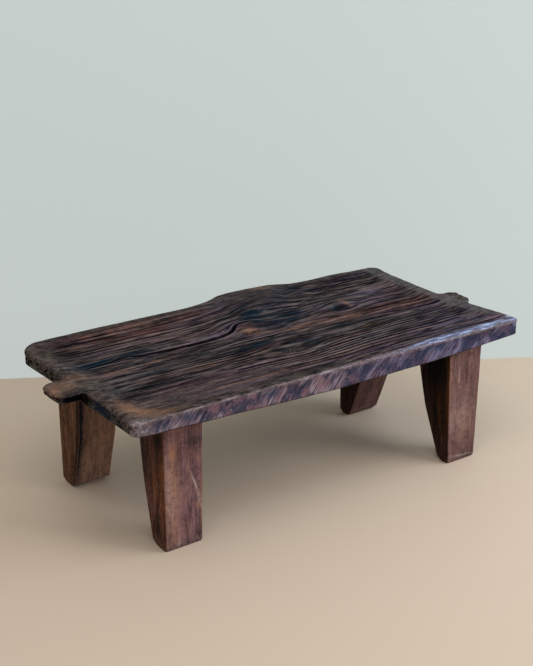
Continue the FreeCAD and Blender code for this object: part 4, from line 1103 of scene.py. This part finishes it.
# Each leg's colours, how dark the painted shade on its left side is, how far its worn toe fills out beyond the
# solid's, and its marks: patches on the front face and on the left face, each with its distance from the front
# left arris, height, half width, half height, turn, strength. The worn and scratched patches are wear; the
# stains are the wood's own low down, and painted shadow under the plank near the top.
LEGS = dict(
    leg_front_left=dict(
        seed=1.0, left_side=0.60, light=(0.250, 0.138, 0.146), dark=(0.112, 0.058, 0.064),
        warm=(0.38, 0.180, 0.095), toe=(7.5, 7.5),
        worn=([(27, 258, 11, 22, 0, 0.7), (22, 165, 15, 85, 0, 0.8), (24, 50, 18, 40, 0, 0.4),
               (108, 115, 6, 70, 0, 0.8)],
              [(10, 205, 12, 62, 0, 1.3), (44, 190, 14, 70, 0, 0.6), (14, 90, 8, 60, 0, 0.7)]),
        stains_and_shadow=([(85, 268, 34, 24, 0, 0.7), (98, 24, 18, 16, 0, 0.6), (60, 4, 70, 7, 0, 0.6)],
                 [(24, 292, 34, 40, 0, 1.1), (104, 200, 26, 130, 0, 0.6), (26, 42, 44, 44, 0, 0.6)]),
        scratched=([(88, 155, 42, 1.9, -71, 1.2), (101, 100, 44, 1.6, -73, 0.9), (16, 150, 14, 90, 0, 0.35),
                    (38, 12, 3, 14, 0, 0.8)], [])),
    leg_front_right=dict(
        seed=2.0, left_side=0.22, light=(0.198, 0.108, 0.106), dark=(0.100, 0.051, 0.050),
        warm=(0.29, 0.142, 0.086), toe=(7.5, 7.5),
        worn=([(2, 258, 5, 90, 0, 1.3), (60, 120, 50, 70, 0, 0.3)],
              [(5, 230, 9, 110, 0, 1.4), (112, 265, 10, 55, 0, 1.2), (36, 150, 7, 60, 0, 0.8),
               (70, 110, 10, 60, 0, 0.5)]),
        stains_and_shadow=([(96, 8, 60, 10, -5, 0.5)], [(58, 290, 44, 62, 0, 2.0), (60, 150, 60, 90, 0, 0.5)]),
        scratched=([(37, 257, 28, 2.6, 90, 0.7), (50, 15, 54, 2.4, -5, 1.0), (40, 130, 60, 60, 0, 0.25)],
                   [(20, 70, 16, 30, 0, 0.3)])),
    leg_back_left=dict(
        seed=3.0, left_side=0.54, light=(0.310, 0.174, 0.125), dark=(0.150, 0.086, 0.062),
        warm=(0.40, 0.224, 0.140), toe=(3.0, 0.0),
        worn=([(70, 200, 40, 120, 0, 0.4)], [(60, 180, 30, 120, 0, 0.3)]),
        stains_and_shadow=([(5, 200, 11, 220, 0, 1.6), (60, 300, 60, 26, 0, 0.5)],
                 [(2, 200, 10, 220, 0, 1.8), (60, 320, 60, 30, 0, 0.6)]),
        scratched=([], [])),
    leg_back_right=dict(
        seed=4.0, left_side=0.28, light=(0.148, 0.070, 0.068), dark=(0.062, 0.032, 0.031),
        warm=(0.19, 0.094, 0.066), toe=(3.0, 0.0),
        worn=([(10, 160, 10, 90, 0, 0.5)], [(8, 180, 8, 90, 0, 0.6)]),
        stains_and_shadow=([(60, 310, 70, 40, 0, 0.8)], [(50, 300, 60, 60, 0, 1.0)]),
        scratched=([], [])),
)
LEG_TINTS = {
    # the stain tint is also laid as painted shadow under the plank near each leg's top
    "check": (0.010, 0.006, 0.006), "scratch": (0.46, 0.34, 0.30), "stain": (0.014, 0.012, 0.017),
    "worn foot": (0.24, 0.17, 0.14), "shade of blotches": (0.5, 0.5, 0.5),
    "shade of dark streaks": (0.62, 0.46, 0.34), "shade of light streaks": (1.36, 1.10, 0.86),
    "shade of bare wood": (0.34, 0.26, 0.18),
}
TOE_RISE = 12.0
LEG_TOP, HIDDEN_TOP = 318, 328  # a leg's hewing fades out between these heights, where the plank covers it
SIDE_SHIFT = 900  # keeps the side faces' grain apart from the front's
LEVEL_STEP = 8
LEG_VOXEL = 2.7
WELD_GAP = 0.01
LEG_BUMP = 0.0012
WEDGE_DARK, WEDGE_LIGHT = (0.24, 0.14, 0.075), (0.46, 0.31, 0.18)
WEDGE_BUMP = 0.0003


def leg_mesh(node, look):
    """A finely remeshed copy of the CAD leg, hewn: facets, a wavering arris, small dents and a fuller toe."""
    rough = node.copy()
    rough.data = node.data.copy()
    bpy.context.collection.objects.link(rough)
    weld = rough.modifiers.new("weld", "WELD")
    weld.merge_threshold = WELD_GAP * MM
    remesh = rough.modifiers.new("remesh", "REMESH")
    remesh.mode = "VOXEL"
    remesh.voxel_size = LEG_VOXEL * MM
    smooth = rough.modifiers.new("smooth", "SMOOTH")
    smooth.factor = 0.5
    smooth.iterations = 2
    graph = bpy.context.evaluated_depsgraph_get()
    mesh = bpy.data.meshes.new_from_object(rough.evaluated_get(graph))
    bpy.data.objects.remove(rough)

    seed = look["seed"]
    points, normals = point_table(mesh)
    x, y, z = points.T
    sharp = corner_nearness(normals)
    on_side = np.abs(normals[:, 0]) > np.abs(normals[:, 1])
    around = np.where(on_side, y, x)
    shown = 1 - soft_step(LEG_TOP, HIDDEN_TOP, z)
    facet = cloud(around / 26 + seed, z / 60 + 3 * seed, int(40 + seed))
    dents = rough_cloud(around / 9 + seed, z / 22, int(60 + seed))
    fibres = cloud(around / 3.2, z / 60, int(80 + seed))
    inward = shown * (1.4 * facet + 1.1 * soft_step(0.45, 0.8, dents) + 0.4 * fibres) * soft_step(0, 6, z)
    points = points - normals * (inward * (1 - 0.6 * sharp))[:, None]
    toe = np.clip(1 - z / TOE_RISE, 0, 1)
    middle = (x.min() + x.max()) / 2
    points[:, 0] += look["toe"][0] * toe * (x - middle) / (x[z < 1].max() - middle)
    points[:, 1] -= look["toe"][1] * toe * (y.max() - y) / (y.max() - y.min())
    points[:, 2] = np.maximum(points[:, 2], 0)
    mesh.vertices.foreach_set("co", (points * MM).astype(np.float32).ravel())
    mesh.update()
    add_grain_map(mesh, z, around + SIDE_SHIFT * on_side)
    add_mask(mesh, "arris", sharp * shown)
    add_mask(mesh, "foot", 1 - soft_step(4, 34, z))
    # where the painted shade of the left side is laid
    add_mask(mesh, "left_side", soft_step(0.3, 0.75, -normals[:, 0]))
    from_arris = past_arris(points, on_side)
    # the stains include painted shadow under the plank near each leg's top
    for kind_of_mark in ("worn", "stains_and_shadow", "scratched"):
        front, left = [patches(from_arris, z, spots) for spots in look[kind_of_mark]]
        add_mask(mesh, kind_of_mark, np.clip(np.where(on_side, left, front), 0, 1.5) * shown)
    return mesh


def past_arris(points, on_side):
    """How far each point of a leg lies past its front left arris, along the face that it is on."""
    level = np.round(points[:, 2] / LEVEL_STEP).astype(int)
    low = np.full((level.max() + 1, 2), np.inf)
    np.minimum.at(low, level, points[:, :2])
    away = points[:, :2] - low[level]
    return np.where(on_side, away[:, 1], away[:, 0])


def corner_nearness(normals):
    """1 on a leg's upright arrises, where the surface looks out diagonally, falling to 0 on its faces."""
    flat = np.hypot(normals[:, 0], normals[:, 1]) + TINY
    diagonal = 2 * np.abs(normals[:, 0] * normals[:, 1]) / flat ** 2
    return soft_step(0.25, 0.9, diagonal)


def tinted(colour, share):
    """A colour with each part multiplied by its share."""
    return [part * other for part, other in zip(colour, share)]


def leg_material(name, look):
    """Red-brown hardwood with upright grain, worn tan in places, stained in others, and lightly scratched,
    with painted shade on its left side and painted shadow under the plank at its top.
    """
    material, tree, shader = new_material(name)
    light, dark, warm = look["light"], look["dark"], look["warm"]
    seed = look["seed"]
    grain, place = starting_points(tree)
    wood = fibres_on(grain, 0.1, 0.004, seed * 7.0)
    streak, fibre = wood["Streak"], wood["Fibre"]
    band = fibres_on(grain, 0.16, 0.022, seed * 5.0)["Streak"]
    checks = lines_on(grain, 0.2, 0.03, seed * 3.0)
    blotch = noise(place, 30.0, 6.0, 0.64)
    speck = noise(place, 170.0, 3.0, 0.7)
    mottle = noise(place, 85.0, 4.0, 0.7)

    # the grain, with warmer and darker blotches
    level = streak * 0.5 + band * 0.4 + ramp(speck, 0.3, 0.7, -0.12, 0.3)
    tone = blend(ramp(level, 0.1, 1.0), dark, light)
    tone = blend(ramp(fibre, 0.55, 1.0) * 0.3, tone, warm)
    tone = blend(ramp(blotch, 0.5, 0.68, 0.0, 0.4), tone, warm)
    tone = blend(ramp(blotch, 0.46, 0.32, 0.0, 0.6), tone, tinted(dark, LEG_TINTS["shade of blotches"]))
    tone = blend(checks * 0.35, tone, LEG_TINTS["check"])

    # the wear, the stains and the painted shadow under the plank, laid where the mesh says
    for name, low, high, paint in (("worn", 0.3, 1.1, warm), ("scratched", 0.4, 1.2, LEG_TINTS["scratch"]),
                                   ("stains_and_shadow", 0.95, 0.65, LEG_TINTS["stain"])):
        tone = blend(clamped(mask(tree, name) * ramp(mottle, 0.34, 0.64, low, high)), tone, paint)
    tone = blend(rubbed_on(place, 0.018) * 0.35, tone, warm)
    worn_foot = mask(tree, "foot") * ramp(speck, 0.4, 0.6)
    tone = blend(worn_foot * 0.4, tone, LEG_TINTS["worn foot"])

    # the left side, made darker and redder by painted shade, deepest on the right-hand legs, whose left faces
    # look in under the plank
    left = look["left_side"]
    dim, lit = [tinted(LEG_TINTS["shade of %s streaks" % kind], [left] * 3) for kind in ("dark", "light")]
    shade = blend(ramp(level, 0.25, 0.95), dim, lit)
    shaded_left = blend(1.0, tone, shade, "MULTIPLY")
    bare = clamped(mask(tree, "worn") * ramp(streak, 0.2, 0.8))
    shaded_left = blend(bare * 0.55, shaded_left, tinted(warm, LEG_TINTS["shade of bare wood"]))
    tone = blend(mask(tree, "left_side"), tone, shaded_left)

    rough = ramp(streak, 0.0, 1.0, 0.42, 0.56) + ramp(blotch, 0.3, 0.7, -0.05, 0.08)
    height = streak * 0.4 + fibre * 0.5 + (mottle + speck) * 0.8 - checks * 0.6
    feed(tree, shader.inputs["Specular IOR Level"], 0.05)
    finish_wood(tree, shader, tone, rough, height, LEG_BUMP)
    return material


def wedge_material():
    """Pale split hardwood for the hidden wedges."""
    material, tree, shader = new_material("split wedge wood")
    place = add(tree, "ShaderNodeTexCoord", output="Object")
    upright = add(tree, "ShaderNodeMapping", {"Vector": place, "Rotation": (0, math.radians(90), 0)})
    wood = fibres_on(upright, 0.05, 0.002, 11.0)
    tone = blend(wood["Streak"], WEDGE_DARK, WEDGE_LIGHT)
    rough = ramp(wood["Fibre"], 0, 1, 0.6, 0.75)
    finish_wood(tree, shader, tone, rough, wood["Fibre"], WEDGE_BUMP, 0.5)
    return material


def show(name, mesh, material, node):
    """Puts a finished mesh in place of a CAD node."""
    mesh.materials.clear()
    mesh.materials.append(material)
    mesh.polygons.foreach_set("use_smooth", np.ones(len(mesh.polygons), bool))
    piece = bpy.data.objects.new(name, mesh)
    bpy.context.collection.objects.link(piece)
    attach(piece, "root")
    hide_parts(node)


show("plank", plank_mesh(), plank_material(), "top_slab")
for leg, look in LEGS.items():
    mesh = leg_mesh(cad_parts[leg], look)
    show(leg.replace("leg", "hewn_leg"), mesh, leg_material(leg, look), leg)
wedge_wood = wedge_material()
for name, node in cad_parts.items():
    if name.startswith("wedge"):
        for slot in node.material_slots:
            slot.material = wedge_wood


# Studio: floor, wall, lights and camera, in metres

WALL_FOOT = Vector((0.413, 0.567, 0.0))
WALL_RUN = Vector((0.873, -0.488, 0.0))
WALL_HALF_LENGTH = 6
WALL_HEIGHT = 4
FLOOR_HALF = 9
FLOOR_TINT, WALL_TINT = (0.55, 0.43, 0.33), (0.62, 0.68, 0.66)
EVEN_LIGHT, EVEN_SHARE = 0.92, 0.75
LAMPS = [  # name, place, aim, width, height, watts, tint
    ("window", (2.1, -2.6, 1.9), (0.2, -0.1, 0.3), 1.8, 1.8, 76, (0.92, 0.96, 1.0)),
    ("glint", (2.4, -1.3, 2.3), (0.3, -0.3, 0.38), 0.7, 0.7, 22, (0.62, 0.80, 1.0)),
    ("sky fill", (-1.2, -1.2, 3.2), (-0.2, -0.3, 0.2), 3.0, 2.6, 62, (1.0, 0.985, 0.95)),
]
ROOM_TINT, ROOM_LIGHT = (0.93, 0.97, 1.0), 0.40
CAMERA_PLACE = (-1.7296, -2.3986, 1.4649)
CAMERA_YAW, CAMERA_PITCH, CAMERA_ROLL = 35.88, 20.13, 0.12
SENSOR_WIDTH, LENS = 36.0, 64.06


def plain_material(name, tint, roughness, seen_from_behind=True):
    """A plain painted surface. Where it isn't seen from behind, cameras and light pass through its back."""
    material, tree, shader = new_material(name)
    for socket, value in (("Base Color", tint), ("Roughness", roughness), ("Specular IOR Level", 0.2)):
        feed(tree, shader.inputs[socket], value)
    if not seen_from_behind:
        even = add(tree, "ShaderNodeEmission", {0: tint, 1: EVEN_LIGHT})
        path = new_node(tree, "ShaderNodeLightPath", {}, {}).outputs
        straight, mirrored, through = [Reading(tree, path["Is %s Ray" % ray])
                                       for ray in ("Camera", "Glossy", "Transmission")]
        seen = clamped(clamped(straight + mirrored) + through) * EVEN_SHARE
        front = add(tree, "ShaderNodeMixShader", {0: seen, 1: Reading(tree, shader.outputs[0]), 2: even})
        clear = add(tree, "ShaderNodeBsdfTransparent")
        behind = add(tree, "ShaderNodeNewGeometry", output="Backfacing")
        either = add(tree, "ShaderNodeMixShader", {0: behind, 1: front, 2: clear})
        output = next(node for node in tree.nodes if node.type == "OUTPUT_MATERIAL")
        feed(tree, output.inputs[0], either)
    return material


def flat_stage(name, corners, material):
    """One flat quad in metres that isn't part of the object."""
    mesh = bpy.data.meshes.new(name)
    mesh.from_pydata(corners, [], [(0, 1, 2, 3)])
    mesh.materials.append(material)
    piece = bpy.data.objects.new(name, mesh)
    bpy.context.collection.objects.link(piece)


flat_stage("floor", [(FLOOR_HALF * x, FLOOR_HALF * y, 0) for x, y in ((-1, -1), (1, -1), (1, 1), (-1, 1))],
           plain_material("plain pale floor", FLOOR_TINT, 0.6))
left_foot, right_foot = WALL_FOOT - WALL_RUN * WALL_HALF_LENGTH, WALL_FOOT + WALL_RUN * WALL_HALF_LENGTH
up = Vector((0, 0, WALL_HEIGHT))
flat_stage("wall", [left_foot, right_foot, right_foot + up, left_foot + up],
           plain_material("plain wall", WALL_TINT, 0.8, seen_from_behind=False))


def softbox(name, place, aim, width, height, watts, tint):
    """A rectangular lamp at place, facing aim."""
    lamp = bpy.data.lights.new(name, "AREA")
    lamp.shape = "RECTANGLE"
    lamp.size, lamp.size_y = width, height
    lamp.energy = watts
    lamp.color = tint
    holder = bpy.data.objects.new(name, lamp)
    holder.location = place
    holder.rotation_euler = (Vector(aim) - Vector(place)).to_track_quat("-Z", "Y").to_euler()
    bpy.context.collection.objects.link(holder)


for lamp in LAMPS:
    softbox(*lamp)
world = bpy.data.worlds.new("soft room light")
world.use_nodes = True
for socket, value in zip(world.node_tree.nodes["Background"].inputs, (ROOM_TINT, ROOM_LIGHT)):
    feed(world.node_tree, socket, value)
bpy.context.scene.world = world

eye = bpy.data.cameras.new("photo view")
eye.sensor_width, eye.lens = SENSOR_WIDTH, LENS
camera = bpy.data.objects.new("photo view", eye)
camera.matrix_world = (Matrix.Translation(CAMERA_PLACE) @ Matrix.Rotation(math.radians(-CAMERA_YAW), 4, "Z")
                       @ Matrix.Rotation(math.radians(90 - CAMERA_PITCH), 4, "X")
                       @ Matrix.Rotation(math.radians(CAMERA_ROLL), 4, "Z"))
bpy.context.collection.objects.link(camera)
bpy.context.scene.camera = camera
bpy.context.scene.view_settings.view_transform = "Standard"
